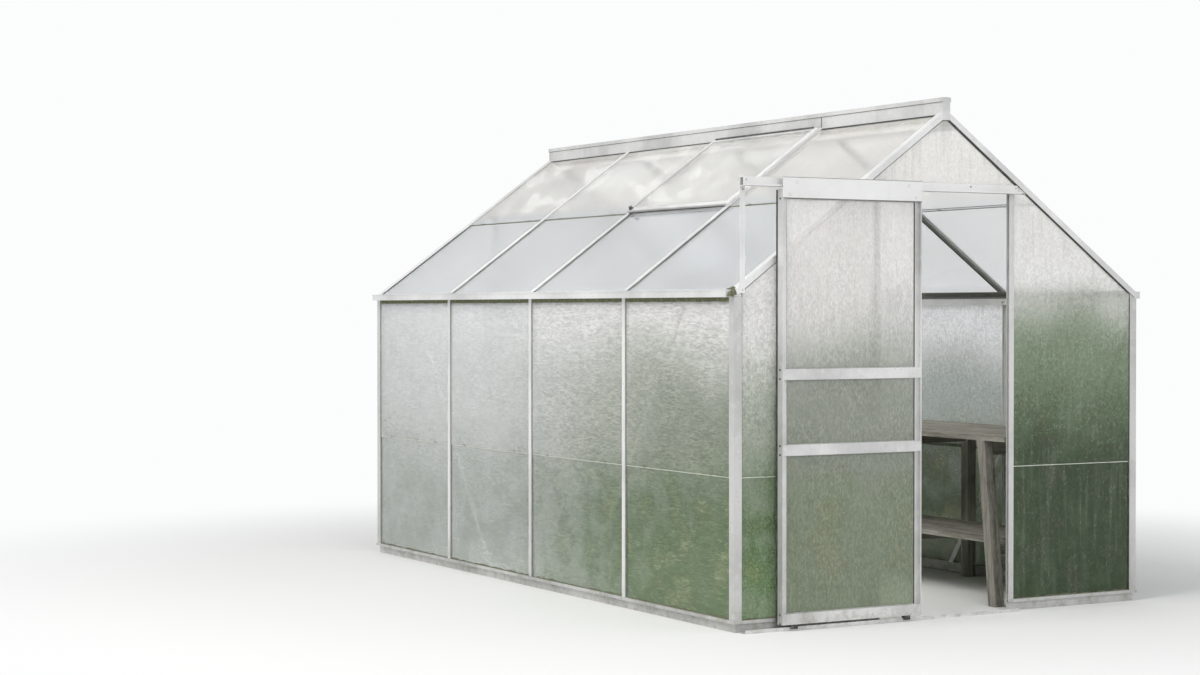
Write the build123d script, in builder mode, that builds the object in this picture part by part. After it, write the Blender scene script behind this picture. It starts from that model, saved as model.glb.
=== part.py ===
"""Aluminium glasshouse, four bays long, with a top-hung sliding door in its front gable.

X runs across the front gable, Y runs from the front gable to the rear one and Z is up.
The front gable faces -Y. All sizes are in millimetres.
"""

from build123d import *
from math import cos, radians, sin, tan
import os

os.makedirs("parts", exist_ok=True)

# Plan and heights of the house
house_half_width = 960.0      # centre line to the glass seat of a side wall
bay_pitch = 800.0             # distance between the glazing bars of a side wall
bay_count = 4
eaves_height = 1229.0         # ground to the underside of the gutter
roof_pitch = 35.8             # degrees
doorway_width = 614.0         # clear width between the door posts
header_shoulder = 79.9        # middle of a door post to where the header meets the roof's seat
wall_lap_height = 575.0      # ground to the middle of the lap between two wall panes

# Glazing bar section, measured outward from the seat that the glass lies on
seat_width = 30.0
seat_thickness = 2.0
web_thickness = 3.2
cap_width = 24.0
cap_thickness = 2.2
cap_lip_height = 1.3
cap_lip_width = 1.4
channel_width = 14.0
channel_depth = 12.0
channel_wall = 1.5
channel_slot = 7.0

# Corner section of posts and rafters
post_cap_leg = 24.0
post_seat_leg = 28.0
rafter_face_leg = 12.5
rafter_seat_leg = 16.0
corner_bore = 6.0

# Glass
glass_thickness = 3.0
glass_edge_gap = 1.4
pane_lap = 12.0
lap_gap = 0.3                 # between the two panes of a lap
roof_glass_overhang = 12.0

# Base sill
sill_height = 45.0
sill_foot = 30.0
sill_ledge_in = 20.0
sill_ledge_out = 14.0
sill_drip = 12.0
sheet = 2.5                   # wall of the gutter, sill, ridge and track sections

# Gutter
gutter_width = 40.0
gutter_depth = 28.0
gutter_lip = 4.0
eaves_step = 3.2              # rise from the gutter's underside to the foot of the bars
gutter_seat_run = 40.0
gutter_web_drop = 25.0

# Ridge
ridge_half_width = 18.0
ridge_rise = 61.0             # roof's seat on the centre line to the top of the ridge
ridge_drop = 6.6              # below the seats of the roof bars
ridge_ledge = 4.0
ridge_ledge_height = 16.0
ridge_crown = 2.0
ridge_seat_run = 40.0

# Roof vent, in the second bay from the front on the left slope
vent_bay = 1
vent_seat_gap = 0.3
vent_overlap = 4.0            # past the middle of the bars beside it
vent_frame_width = 20.0
vent_frame_height = 14.0
vent_corner_radius = 5.0
vent_ridge_gap = 2.0
vent_sill_width = 18.0
vent_groove_depth = 8.0
roof_lap_share = 0.52         # place of the roof lap between eaves and ridge

# Braces
brace_width = 22.0
brace_thickness = 3.0
wall_brace_top_bay = 0.45
wall_brace_foot_bay = 1.45
gable_brace_drop = 139.0      # below the underside of the gutter
gable_brace_foot_gap = 46.0
gable_brace_top_gap = 15.0

# Sliding door
door_width = 635.0
door_open_by = 477.5          # the door stands this far left of the doorway's middle
door_depth = 32.0
door_bottom = 24.0
door_track_gap = 8.0
stile_web = 3.0
stile_width = 24.0            # edge of the door to the ends of the flanges that hold the panes
stile_flange = 2.2
stile_lip = 5.0
door_rail_height = 40.0
door_rail_depth = 26.0
door_top_rail_height = 35.0
door_rail_centres = (945.0, 666.0)
glass_groove_depth = 9.0
glass_groove_gap = 0.3
cheek_gap = 0.3               # between a rail's cheek and the flange that it laps over
hanger_over_axle = 17.0
hanger_lap = 33.0             # over the face of the door's top rail
hanger_thickness = 2.5

# Track over the doorway and guide under it
track_end_inset = 14.0        # from the centre line of the side wall to the left end
track_past_doorway = 24.0     # from the doorway to the right end
track_height = 33.0
track_box_depth = 24.2        # back of the track to the closed face behind the rollers
track_shelf = 24.0            # that face to the lip of the shelf
track_lip = 4.0
track_rib_height = 4.0
track_rib_thickness = 2.0
track_rib_out = 16.0          # that face to the middle of the rib
strut_width = 21.0
guide_fin_height = 14.0

# Rollers and shoes
roller_rim_radius = 12.5
roller_groove_radius = 9.5
roller_width = 10.0
roller_groove_width = 4.0
roller_bore_gap = 0.3
roller_running_gap = 0.3
roller_inset = 62.0
axle_radius = 4.0
axle_head_radius = 6.5
axle_head_length = 2.0
shoe_length = 30.0
shoe_width = 14.0
shoe_side_gap = 2.0
shoe_ground_gap = 6.0
shoe_top_gap = 3.0
shoe_inset = 60.0

# Staging bench along the right wall
bench_wall_gap = 0.3
bench_depth = 600.0
bench_length = 1900.0
bench_height = 680.0
bench_front_gap = 40.0        # inside of the front gable to the end of the bench
bench_board_thickness = 20.0
bench_board_count = 6
bench_board_gap = 8.0
bench_leg = 45.0
bench_leg_rows = 3
bench_leg_inset = 150.0       # end of the bench to the middle of the outer legs, at the top
bench_leg_splay = 75.0        # how much further out the feet of the outer legs stand
bench_rail_height = 60.0
bench_rail_thickness = 20.0
bench_shelf_height = 258.0
bench_shelf_depth = 400.0
bench_shelf_boards = 4

# Sizes that follow from the ones above
rebate = 2 * glass_thickness + lap_gap
cap_out = rebate + cap_thickness + cap_lip_height
stem_in = seat_thickness + channel_depth
pitch = radians(roof_pitch)
slope = tan(pitch)
house_length = bay_count * bay_pitch
eaves_seat = eaves_height + eaves_step + stem_in / cos(pitch)
ridge_seat = eaves_seat + house_half_width * slope
ridge_top = ridge_seat + ridge_rise
ridge_bottom = ridge_seat - ridge_half_width * slope - (stem_in + sheet) / cos(pitch) - ridge_drop
ridge_face_bottom = ridge_seat - ridge_half_width * slope - rafter_face_leg / cos(pitch)
pane_edge = web_thickness / 2 + glass_edge_gap
door_post_x = doorway_width / 2 + seat_width / 2
header_height = ridge_seat - (door_post_x + header_shoulder) * slope
track_left = track_end_inset - house_half_width
track_right = doorway_width / 2 + track_past_doorway
track_bottom = header_height - track_height / 2
door_back_out = cap_out + track_box_depth
door_front_out = door_back_out + door_depth
hanger_out = door_front_out + hanger_thickness
door_top = track_bottom - door_track_gap

# The origin is the middle of the outline on the ground, with the door's front as the foremost face
rear_reach = sill_ledge_out
front_y = -(house_length + rear_reach - hanger_out) / 2
rear_y = front_y + house_length

UP = Vector(0, 0, 1)
LEFT = Vector(-1, 0, 0)
RIGHT = Vector(1, 0, 0)
FRONT = Vector(0, -1, 0)
REAR = Vector(0, 1, 0)
LEFT_SLOPE_UP = Vector(cos(pitch), 0, sin(pitch))
LEFT_SLOPE_OUT = Vector(-sin(pitch), 0, cos(pitch))
RIGHT_SLOPE_UP = Vector(-cos(pitch), 0, sin(pitch))
RIGHT_SLOPE_OUT = Vector(sin(pitch), 0, cos(pitch))


def roof_z(x, out=0.0):
    """Height of the roof's seat at x, or of the level that lies out from it."""
    return ridge_seat - abs(x) * slope + out / cos(pitch)


def roof_x(z, out=0.0):
    """Distance from the centre line at which that level of the roof has height z."""
    return (ridge_seat + out / cos(pitch) - z) / slope


def run_plane(start, along, outward):
    """Plane across a bar that starts at a point, with its local Y pointing outward."""
    return Plane(origin=start, x_dir=outward.cross(along), z_dir=along)


def export(piece, name):
    piece.part.label = name
    export_step(piece.part, f"parts/{name}.step")


def bar_section():
    """Glazing bar: seat flange, web, lipped cap outside and bolt channel inside."""
    half_channel = channel_width / 2
    with BuildSketch() as section:
        with BuildLine():
            Polyline(
                (0, rebate + cap_thickness + cap_lip_height / 2),
                (cap_width / 2 - 2 * cap_lip_width, rebate + cap_thickness),
                (cap_width / 2 - cap_lip_width, cap_out),
                (cap_width / 2, cap_out),
                (cap_width / 2, rebate),
                (web_thickness / 2, rebate),
                (web_thickness / 2, 0),
                (seat_width / 2, 0),
                (seat_width / 2, -seat_thickness),
                (half_channel, -seat_thickness),
                (half_channel, -stem_in),
                (channel_slot / 2, -stem_in),
                (channel_slot / 2, -stem_in + channel_wall),
                (half_channel - channel_wall, -stem_in + channel_wall),
                (half_channel - channel_wall, -seat_thickness),
                (0, -seat_thickness),
            )
            mirror(about=Plane.YZ)
        make_face()
    return section.sketch


def corner_section(gable_cap, gable_seat):
    """Corner bar: local Y is outward from the wall or roof, local X outward from the gable."""
    bore_place = stem_in - channel_wall - corner_bore / 2
    with BuildSketch() as section:
        with BuildLine():
            Polyline(
                (cap_out, cap_out),
                (-post_cap_leg, cap_out),
                (-post_cap_leg, rebate),
                (-seat_thickness, rebate),
                (-seat_thickness, 0),
                (-post_seat_leg, 0),
                (-post_seat_leg, -seat_thickness),
                (-stem_in, -seat_thickness),
                (-stem_in, -stem_in),
                (-seat_thickness, -stem_in),
                (-seat_thickness, -gable_seat),
                (0, -gable_seat),
                (0, -seat_thickness),
                (rebate, -seat_thickness),
                (rebate, -gable_cap),
                (cap_out, -gable_cap),
                close=True,
            )
        make_face()
        with Locations((-bore_place, -bore_place), (rebate / 2, rebate / 2)):
            Rectangle(corner_bore, corner_bore, mode=Mode.SUBTRACT)
    return section.sketch


bar = bar_section()
post_section = corner_section(post_cap_leg, post_seat_leg)
rafter_section = corner_section(rafter_face_leg, rafter_seat_leg)


# Base sills, mitred at the corners and left open at the doorway
with BuildSketch() as sill_section:
    with BuildLine():
        Polyline(
            (-sill_foot, 0),
            (0, 0),
            (0, sill_height - sheet),
            (sill_ledge_out - sheet, sill_height - sheet),
            (sill_ledge_out - sheet, sill_height - sill_drip),
            (sill_ledge_out, sill_height - sill_drip),
            (sill_ledge_out, sill_height),
            (-sill_ledge_in, sill_height),
            (-sill_ledge_in, sill_height - sheet),
            (-sheet, sill_height - sheet),
            (-sheet, sheet),
            (-sill_foot, sheet),
            close=True,
        )
    make_face()


def sill_run(start, outward, length, miters):
    """Length of sill from a start point, cut by a 45 degree plane at each corner it reaches."""
    with BuildPart() as run:
        with BuildSketch(Plane(origin=start, x_dir=outward, z_dir=outward.cross(UP))):
            add(sill_section.sketch)
        extrude(amount=length)
        for corner, normal in miters:
            split(bisect_by=Plane(origin=corner, z_dir=normal), keep=Keep.BOTTOM)
    return run.part


def corner(x_side, gable_y):
    return Vector(x_side * house_half_width, gable_y, 0)


side_length = house_length + 2 * sill_ledge_out
front_sill_length = house_half_width - doorway_width / 2 + sill_ledge_out
left_sill = sill_run(
    Vector(-house_half_width, front_y - sill_ledge_out, 0),
    LEFT,
    side_length,
    [(corner(-1, front_y), Vector(1, -1, 0)), (corner(-1, rear_y), Vector(1, 1, 0))],
)
right_sill = sill_run(
    Vector(house_half_width, rear_y + sill_ledge_out, 0),
    RIGHT,
    side_length,
    [(corner(1, front_y), Vector(-1, -1, 0)), (corner(1, rear_y), Vector(-1, 1, 0))],
)
front_left_sill = sill_run(
    Vector(-doorway_width / 2, front_y, 0),
    FRONT,
    front_sill_length,
    [(corner(-1, front_y), Vector(-1, 1, 0))],
)
front_right_sill = sill_run(
    Vector(house_half_width + sill_ledge_out, front_y, 0),
    FRONT,
    front_sill_length,
    [(corner(1, front_y), Vector(1, 1, 0))],
)
back_sill = sill_run(
    Vector(-house_half_width - sill_ledge_out, rear_y, 0),
    REAR,
    2 * (house_half_width + sill_ledge_out),
    [(corner(-1, rear_y), Vector(-1, -1, 0)), (corner(1, rear_y), Vector(1, -1, 0))],
)

with BuildPart() as side_sills:
    add(left_sill)
    add(right_sill)
export(side_sills, "side_sills")

with BuildPart() as front_sills:
    add(front_left_sill)
    add(front_right_sill)
export(front_sills, "front_sills")

with BuildPart() as rear_sill:
    add(back_sill)
export(rear_sill, "rear_sill")

# Corner posts, from the sill to the underside of the gutter
post_height = eaves_height - sill_height
with BuildPart() as corner_posts:
    for gable_y, gable_out in ((front_y, FRONT), (rear_y, REAR)):
        for wall_out in (LEFT, RIGHT):
            start = Vector(wall_out.X * house_half_width, gable_y, sill_height)
            # The section is mirrored where its two outward directions turn the other way
            turn = gable_out.cross(wall_out).Z
            with BuildSketch(Plane(origin=start, x_dir=gable_out, z_dir=UP * turn)):
                add(post_section)
            extrude(amount=post_height * turn)
export(corner_posts, "corner_posts")

# Side wall bars, standing on the sill under the gutter
bar_places = [front_y + number * bay_pitch for number in range(1, bay_count)]


def wall_bars(outward):
    with BuildPart() as bars:
        for place in bar_places:
            start = Vector(outward.X * house_half_width, place, sill_height)
            with BuildSketch(run_plane(start, UP, outward)):
                add(bar)
            extrude(amount=post_height)
    return bars


left_wall_bars = wall_bars(LEFT)
export(left_wall_bars, "left_wall_bars")
right_wall_bars = wall_bars(RIGHT)
export(right_wall_bars, "right_wall_bars")

# Gutters: a trough outside, a web the wall bars bolt to and a sloping seat for the roof bars
seat_foot = (eaves_step - sheet) / slope
seat_fall = sheet / cos(pitch)
with BuildSketch() as gutter_section:
    with BuildLine():
        Polyline(
            (-stem_in, 0),
            (gutter_width, 0),
            (gutter_width, gutter_depth - gutter_lip),
            (gutter_width + gutter_lip / 2, gutter_depth - gutter_lip),
            (gutter_width + gutter_lip / 2, gutter_depth),
            (gutter_width - sheet, gutter_depth),
            (gutter_width - sheet, sheet),
            (seat_foot, sheet),
            (-gutter_seat_run, eaves_step + gutter_seat_run * slope),
            (-gutter_seat_run, eaves_step + gutter_seat_run * slope - seat_fall),
            (-stem_in - sheet, eaves_step + (stem_in + sheet) * slope - seat_fall),
            (-stem_in - sheet, -gutter_web_drop),
            (-stem_in, -gutter_web_drop),
            close=True,
        )
    make_face()
with BuildSketch() as gutter_end_section:
    gutter_end_start = roof_glass_overhang + glass_thickness
    with Locations(((gutter_width + gutter_end_start) / 2, gutter_depth / 2)):
        Rectangle(gutter_width - gutter_end_start, gutter_depth)


def gutter(outward):
    run_length = house_length - 2 * seat_thickness
    along = outward.cross(UP)
    foot = Vector(outward.X * house_half_width, (front_y + rear_y) / 2, eaves_height)
    with BuildPart() as piece:
        with BuildSketch(Plane(origin=foot, x_dir=outward, z_dir=along)):
            add(gutter_section.sketch)
        extrude(amount=run_length / 2, both=True)
        for end in (-1, 1):
            origin = foot + along * (end * run_length / 2)
            with BuildSketch(Plane(origin=origin, x_dir=outward, z_dir=along)):
                add(gutter_end_section.sketch)
            extrude(amount=-end * sheet)
    return piece


left_gutter = gutter(LEFT)
export(left_gutter, "left_gutter")
right_gutter = gutter(RIGHT)
export(right_gutter, "right_gutter")

# Ridge: a hollow box with a crowned ledge, and sloping seats for the roof bars between the gables
ledge_half_width = ridge_half_width + ridge_ledge
seat_outer = ridge_half_width + ridge_seat_run
with BuildSketch() as ridge_section:
    with BuildLine():
        Polyline(
            (0, ridge_bottom),
            (ridge_half_width, ridge_bottom),
            (ridge_half_width, ridge_top - ridge_crown - ridge_ledge_height),
            (ledge_half_width, ridge_top - ridge_crown - ridge_ledge_height),
            (ledge_half_width, ridge_top - ridge_crown),
            (0, ridge_top),
        )
        mirror(about=Plane.YZ)
    make_face()
    with Locations((0, (ridge_top + ridge_bottom - ridge_crown) / 2)):
        hollow_height = ridge_top - ridge_bottom - ridge_crown - 2 * sheet
        Rectangle(2 * (ridge_half_width - sheet), hollow_height, mode=Mode.SUBTRACT)
with BuildSketch() as ridge_seat_section:
    with BuildLine():
        Polyline(
            (ridge_half_width, roof_z(ridge_half_width, -stem_in)),
            (seat_outer, roof_z(seat_outer, -stem_in)),
            (seat_outer, roof_z(seat_outer, -stem_in - sheet)),
            (ridge_half_width, roof_z(ridge_half_width, -stem_in - sheet)),
            close=True,
        )
    make_face()
    mirror(about=Plane.YZ)
with BuildSketch() as ridge_over_gable:
    add(ridge_section.sketch)
    with Locations((0, (ridge_top + ridge_face_bottom) / 2)):
        Rectangle(2 * ledge_half_width, ridge_top - ridge_face_bottom, mode=Mode.INTERSECT)
ridge_reach = house_length / 2 + cap_out
across_middle = Plane.XZ.offset(-(front_y + rear_y) / 2)
with BuildPart() as ridge:
    with BuildSketch(across_middle):
        add(ridge_section.sketch)
        add(ridge_seat_section.sketch)
    extrude(amount=house_length / 2 - seat_thickness, both=True)
    with BuildSketch(across_middle):
        add(ridge_over_gable.sketch)
    extrude(amount=ridge_reach, both=True)
    for end in (-1, 1):
        with BuildSketch(across_middle.offset(end * ridge_reach)):
            with Locations((0, (ridge_top + ridge_face_bottom - ridge_crown) / 2)):
                Rectangle(2 * ridge_half_width, ridge_top - ridge_face_bottom - ridge_crown)
        extrude(amount=-end * sheet)
export(ridge, "ridge")

# Roof bars and rafters, cut upright over the wall and against the ridge
bar_run = house_half_width / cos(pitch)
slopes = {-1: (LEFT_SLOPE_UP, LEFT_SLOPE_OUT), 1: (RIGHT_SLOPE_UP, RIGHT_SLOPE_OUT)}


def roof_bars(side):
    up, outward = slopes[side]
    with BuildPart() as bars:
        for place in bar_places:
            foot = Vector(side * house_half_width, place, eaves_seat)
            with BuildSketch(run_plane(foot - up * stem_in, up, outward)):
                add(bar)
            extrude(amount=bar_run + stem_in)
        split(bisect_by=Plane(origin=(side * house_half_width, 0, 0), z_dir=(side, 0, 0)), keep=Keep.BOTTOM)
        split(bisect_by=Plane(origin=(side * ridge_half_width, 0, 0), z_dir=(side, 0, 0)), keep=Keep.TOP)
    return bars


left_roof_bars = roof_bars(-1)
export(left_roof_bars, "left_roof_bars")
right_roof_bars = roof_bars(1)
export(right_roof_bars, "right_roof_bars")


def rafters(gable_y, gable_out):
    """The two rafters of a gable, which cover the edges of the roof and gable glass."""
    pieces = []
    for side in (-1, 1):
        up, outward = slopes[side]
        foot = Vector(side * house_half_width, gable_y, eaves_seat) - up * post_seat_leg
        # The section is mirrored where its two outward directions turn the other way
        turn = 1 if gable_out.cross(outward).dot(up) > 0 else -1
        with BuildPart() as rafter:
            with BuildSketch(Plane(origin=foot, x_dir=gable_out, z_dir=up * turn)):
                add(rafter_section)
            extrude(amount=turn * (bar_run + post_seat_leg))
            split(bisect_by=Plane.XY.offset(eaves_height + sheet), keep=Keep.TOP)
            outer = Plane(origin=(side * (house_half_width + cap_out), 0, 0), z_dir=(side, 0, 0))
            split(bisect_by=outer, keep=Keep.BOTTOM)
            inner = Plane(origin=(side * ridge_half_width, 0, 0), z_dir=(side, 0, 0))
            split(bisect_by=inner, keep=Keep.TOP)
        pieces.append(rafter.part)
    return pieces


front_rafter_pieces = rafters(front_y, FRONT)
with BuildPart() as front_rafters:
    add(front_rafter_pieces)
export(front_rafters, "front_rafters")

rear_rafter_pieces = rafters(rear_y, REAR)
with BuildPart() as rear_rafters:
    add(rear_rafter_pieces)
export(rear_rafters, "rear_rafters")

# Door posts and rear posts, from the sill or the ground to the underside of the header
header_bottom = header_height - seat_width / 2


def gable_posts(gable_y, gable_out, foot):
    with BuildPart() as posts:
        for side in (-1, 1):
            start = Vector(side * door_post_x, gable_y, foot)
            with BuildSketch(run_plane(start, UP, gable_out)):
                add(bar)
            extrude(amount=header_bottom - foot)
    return posts


door_posts = gable_posts(front_y, FRONT, sill_height)
export(door_posts, "door_posts")
rear_posts = gable_posts(rear_y, REAR, sill_height)
export(rear_posts, "rear_posts")


def header(gable_y, gable_out):
    """Bar across the gable at the doorway's head, cut to the slope at both ends."""
    reach = roof_x(header_bottom, -rafter_seat_leg)
    along = gable_out.cross(UP)
    start = Vector(0, gable_y, header_height)
    with BuildPart() as piece:
        with BuildSketch(run_plane(start, along, gable_out)):
            add(bar)
        extrude(amount=reach, both=True)
        for side in (-1, 1):
            up, outward = slopes[side]
            foot = Vector(side * house_half_width, gable_y, eaves_seat) - outward * rafter_seat_leg
            split(bisect_by=Plane(origin=foot, z_dir=outward), keep=Keep.BOTTOM)
    return piece


front_header = header(front_y, FRONT)
export(front_header, "front_header")
rear_header = header(rear_y, REAR)
export(rear_header, "rear_header")

# Glass: the lower pane lies on the seat and the upper one laps over its outer face
LOWER_LAYER = glass_thickness / 2
UPPER_LAYER = rebate - glass_thickness / 2
pane_width = bay_pitch - 2 * pane_edge
slope_length = (house_half_width - ridge_half_width) / cos(pitch)
roof_lap = slope_length * roof_lap_share
wall_pane_ranges = (
    (sill_height, wall_lap_height + pane_lap / 2, LOWER_LAYER),
    (wall_lap_height - pane_lap / 2, eaves_height, UPPER_LAYER),
)
roof_pane_ranges = (
    (-roof_glass_overhang / cos(pitch), roof_lap + pane_lap / 2, LOWER_LAYER),
    (roof_lap - pane_lap / 2, slope_length - glass_edge_gap, UPPER_LAYER),
)


def panes(foot, along, outward, bays, ranges):
    """Rectangular panes between bars that run along a slope or wall from a foot point."""
    with BuildPart() as glass:
        for bay in bays:
            middle = foot + REAR * ((bay + 0.5) * bay_pitch)
            for low, high, layer in ranges(bay):
                start = middle + along * low + outward * layer
                with BuildSketch(run_plane(start, along, outward)):
                    Rectangle(pane_width, glass_thickness)
                extrude(amount=high - low)
    return glass


def wall_glass(outward):
    foot = Vector(outward.X * house_half_width, front_y, 0)
    return panes(foot, UP, outward, range(bay_count), lambda bay: wall_pane_ranges)


def roof_glass(side):
    """Roof panes; the upper one is missing where the vent takes its place."""
    up, outward = slopes[side]
    foot = Vector(side * house_half_width, front_y, eaves_seat)

    def ranges(bay):
        return roof_pane_ranges[:1] if side < 0 and bay == vent_bay else roof_pane_ranges

    return panes(foot, up, outward, range(bay_count), ranges)


left_wall_glass = wall_glass(LEFT)
export(left_wall_glass, "left_wall_glass")
right_wall_glass = wall_glass(RIGHT)
export(right_wall_glass, "right_wall_glass")
left_roof_glass = roof_glass(-1)
export(left_roof_glass, "left_roof_glass")
right_roof_glass = roof_glass(1)
export(right_roof_glass, "right_roof_glass")


def gable_glass(gable_y, outward_sign, with_middle):
    """Gable panes: lapped side bays cut to the slope, the apex and, at the rear, the middle."""
    outer_x = house_half_width - seat_thickness - glass_edge_gap
    inner_x = door_post_x + pane_edge
    top = header_height - pane_edge
    apex_foot = header_height + pane_edge
    apex_top = ridge_face_bottom - glass_edge_gap
    clear = -seat_thickness - glass_edge_gap
    lap_low = wall_lap_height - pane_lap / 2
    lap_high = wall_lap_height + pane_lap / 2
    middle_x = door_post_x - pane_edge
    low_layer = Plane.XZ.offset(-gable_y)
    high_layer = low_layer.offset(-outward_sign * (glass_thickness + lap_gap))
    thickness = -outward_sign * glass_thickness
    with BuildPart() as glass:
        for side in (-1, 1):
            with BuildSketch(low_layer):
                with Locations((side * (outer_x + inner_x) / 2, (sill_height + lap_high) / 2)):
                    Rectangle(outer_x - inner_x, lap_high - sill_height)
            extrude(amount=thickness)
            with BuildSketch(high_layer):
                with BuildLine():
                    Polyline(
                        (side * inner_x, lap_low),
                        (side * outer_x, lap_low),
                        (side * outer_x, roof_z(outer_x, clear)),
                        (side * roof_x(top, clear), top),
                        (side * inner_x, top),
                        close=True,
                    )
                make_face()
            extrude(amount=thickness)
        with BuildSketch(low_layer):
            with BuildLine():
                Polyline(
                    (-roof_x(apex_foot, clear), apex_foot),
                    (roof_x(apex_foot, clear), apex_foot),
                    (roof_x(apex_top, clear), apex_top),
                    (-roof_x(apex_top, clear), apex_top),
                    close=True,
                )
            make_face()
        extrude(amount=thickness)
        if with_middle:
            with BuildSketch(low_layer):
                with Locations((0, (sill_height + lap_high) / 2)):
                    Rectangle(2 * middle_x, lap_high - sill_height)
            extrude(amount=thickness)
            with BuildSketch(high_layer):
                with Locations((0, (lap_low + top) / 2)):
                    Rectangle(2 * middle_x, top - lap_low)
            extrude(amount=thickness)
    return glass


front_gable_glass = gable_glass(front_y, -1, with_middle=False)
export(front_gable_glass, "front_gable_glass")
rear_gable_glass = gable_glass(rear_y, 1, with_middle=True)
export(rear_gable_glass, "rear_gable_glass")

# Roof vent: rounded frame over the bars, its pane in a groove, and the sill bar under its lower rail
vent_foot = Vector(-house_half_width, front_y + (vent_bay + 0.5) * bay_pitch, eaves_seat)
vent_level = cap_out + vent_seat_gap
vent_plane = Plane(
    origin=vent_foot + LEFT_SLOPE_OUT * vent_level,
    x_dir=LEFT_SLOPE_UP,
    z_dir=LEFT_SLOPE_OUT,
)
vent_low = roof_lap - vent_frame_width / 2
vent_rise = vent_frame_height * slope
vent_high = slope_length - vent_ridge_gap - vent_rise
vent_half = bay_pitch / 2 + vent_overlap
vent_mid = (vent_low + vent_high) / 2
vent_length = vent_high - vent_low
vent_glass_level = (vent_frame_height - glass_thickness) / 2
with BuildPart() as vent_frame:
    with BuildSketch(vent_plane):
        with Locations((vent_mid, 0)):
            Rectangle(vent_length, 2 * vent_half)
            Rectangle(
                vent_length - 2 * vent_frame_width,
                2 * (vent_half - vent_frame_width),
                mode=Mode.SUBTRACT,
            )
    extrude(amount=vent_frame_height)
    top_face = vent_frame.faces().sort_by(Axis(vent_plane.origin, vent_plane.z_dir))[-1]
    fillet(top_face.outer_wire().edges(), radius=vent_corner_radius)
    with BuildSketch(vent_plane.offset(vent_glass_level)):
        with Locations((vent_mid, 0)):
            groove_reach = 2 * (vent_frame_width - vent_groove_depth)
            Rectangle(vent_length - groove_reach, 2 * vent_half - groove_reach)
    extrude(amount=glass_thickness, mode=Mode.SUBTRACT)
export(vent_frame, "vent_frame")

with BuildPart() as vent_glass:
    with BuildSketch(vent_plane.offset(vent_glass_level)):
        with Locations((vent_mid, 0)):
            glass_reach = groove_reach + 2 * glass_edge_gap
            Rectangle(vent_length - glass_reach, 2 * vent_half - glass_reach)
    extrude(amount=glass_thickness)
export(vent_glass, "vent_glass")

vent_sill_height = cap_out - glass_thickness
with BuildPart() as vent_sill:
    with BuildSketch(vent_plane.offset(-vent_seat_gap)):
        with Locations((roof_lap, 0)):
            Rectangle(vent_sill_width, bay_pitch - cap_width)
    extrude(amount=-vent_sill_height)
export(vent_sill, "vent_sill")


# Braces of flat bar, bolted inside the bars and posts
def brace_corners(foot, head):
    """Corners of a strip between two points, with level ends."""
    run = head[0] - foot[0]
    rise = head[1] - foot[1]
    half_level = brace_width / 2 * (run ** 2 + rise ** 2) ** 0.5 / rise
    return (
        (foot[0] - half_level, foot[1]),
        (foot[0] + half_level, foot[1]),
        (head[0] + half_level, head[1]),
        (head[0] - half_level, head[1]),
    )


brace_foot_run = wall_brace_foot_bay * bay_pitch
brace_head_run = wall_brace_top_bay * bay_pitch
with BuildPart() as wall_braces:
    for side in (-1, 1):
        inner_face = side * (house_half_width - stem_in - sheet)
        with BuildSketch(Plane.YZ.offset(inner_face)):
            for gable_y, inward in ((front_y, 1), (rear_y, -1)):
                foot = (gable_y + inward * brace_foot_run, sill_height)
                head = (gable_y + inward * brace_head_run, eaves_height)
                Polygon(*brace_corners(foot, head), align=None)
        extrude(amount=-side * brace_thickness)
export(wall_braces, "wall_braces")

gable_brace_top = eaves_height - gable_brace_drop
gable_foot_x = door_post_x + gable_brace_foot_gap
gable_head_x = house_half_width - gable_brace_top_gap
with BuildPart() as gable_braces:
    for gable_y, inward in ((front_y, 1), (rear_y, -1)):
        with BuildSketch(Plane.XZ.offset(-(gable_y + inward * stem_in))):
            for side in (-1, 1):
                foot = (side * gable_foot_x, sill_height)
                head = (side * gable_head_x, gable_brace_top)
                Polygon(*brace_corners(foot, head), align=None)
        extrude(amount=-inward * brace_thickness)
export(gable_braces, "gable_braces")

# Track over the doorway: a box, and at its foot a lipped shelf with the rib that the rollers ride on
rib_top = sheet + track_rib_height
rib_middle = track_box_depth + track_rib_out
shelf_edge = track_box_depth + track_shelf
with BuildSketch() as track_section:
    with BuildLine():
        Polyline(
            (0, 0),
            (shelf_edge + sheet, 0),
            (shelf_edge + sheet, sheet + track_lip),
            (shelf_edge, sheet + track_lip),
            (shelf_edge, sheet),
            (rib_middle + track_rib_thickness / 2, sheet),
            (rib_middle + track_rib_thickness / 2, rib_top),
            (rib_middle - track_rib_thickness / 2, rib_top),
            (rib_middle - track_rib_thickness / 2, sheet),
            (track_box_depth, sheet),
            (track_box_depth, track_height),
            (0, track_height),
            close=True,
        )
    make_face()
    with Locations((track_box_depth / 2, track_height / 2)):
        Rectangle(track_box_depth - 2 * sheet, track_height - 2 * sheet, mode=Mode.SUBTRACT)
track_back = Vector(track_right, front_y - cap_out, track_bottom)
with BuildPart() as door_track:
    with BuildSketch(Plane(origin=track_back, x_dir=FRONT, z_dir=LEFT)):
        add(track_section.sketch)
    extrude(amount=track_right - track_left)
export(door_track, "door_track")

# Flat strut that carries the far end of the track on the rafter's foot, behind the path of the door
strut_foot = roof_z(-track_left, -rafter_face_leg)
with BuildPart() as track_strut:
    with BuildSketch(Plane.XZ.offset(-(front_y - cap_out))):
        with Locations((track_left + strut_width / 2, (strut_foot + track_bottom) / 2)):
            Rectangle(strut_width, track_bottom - strut_foot)
    extrude(amount=sheet)
export(track_strut, "track_strut")

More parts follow.
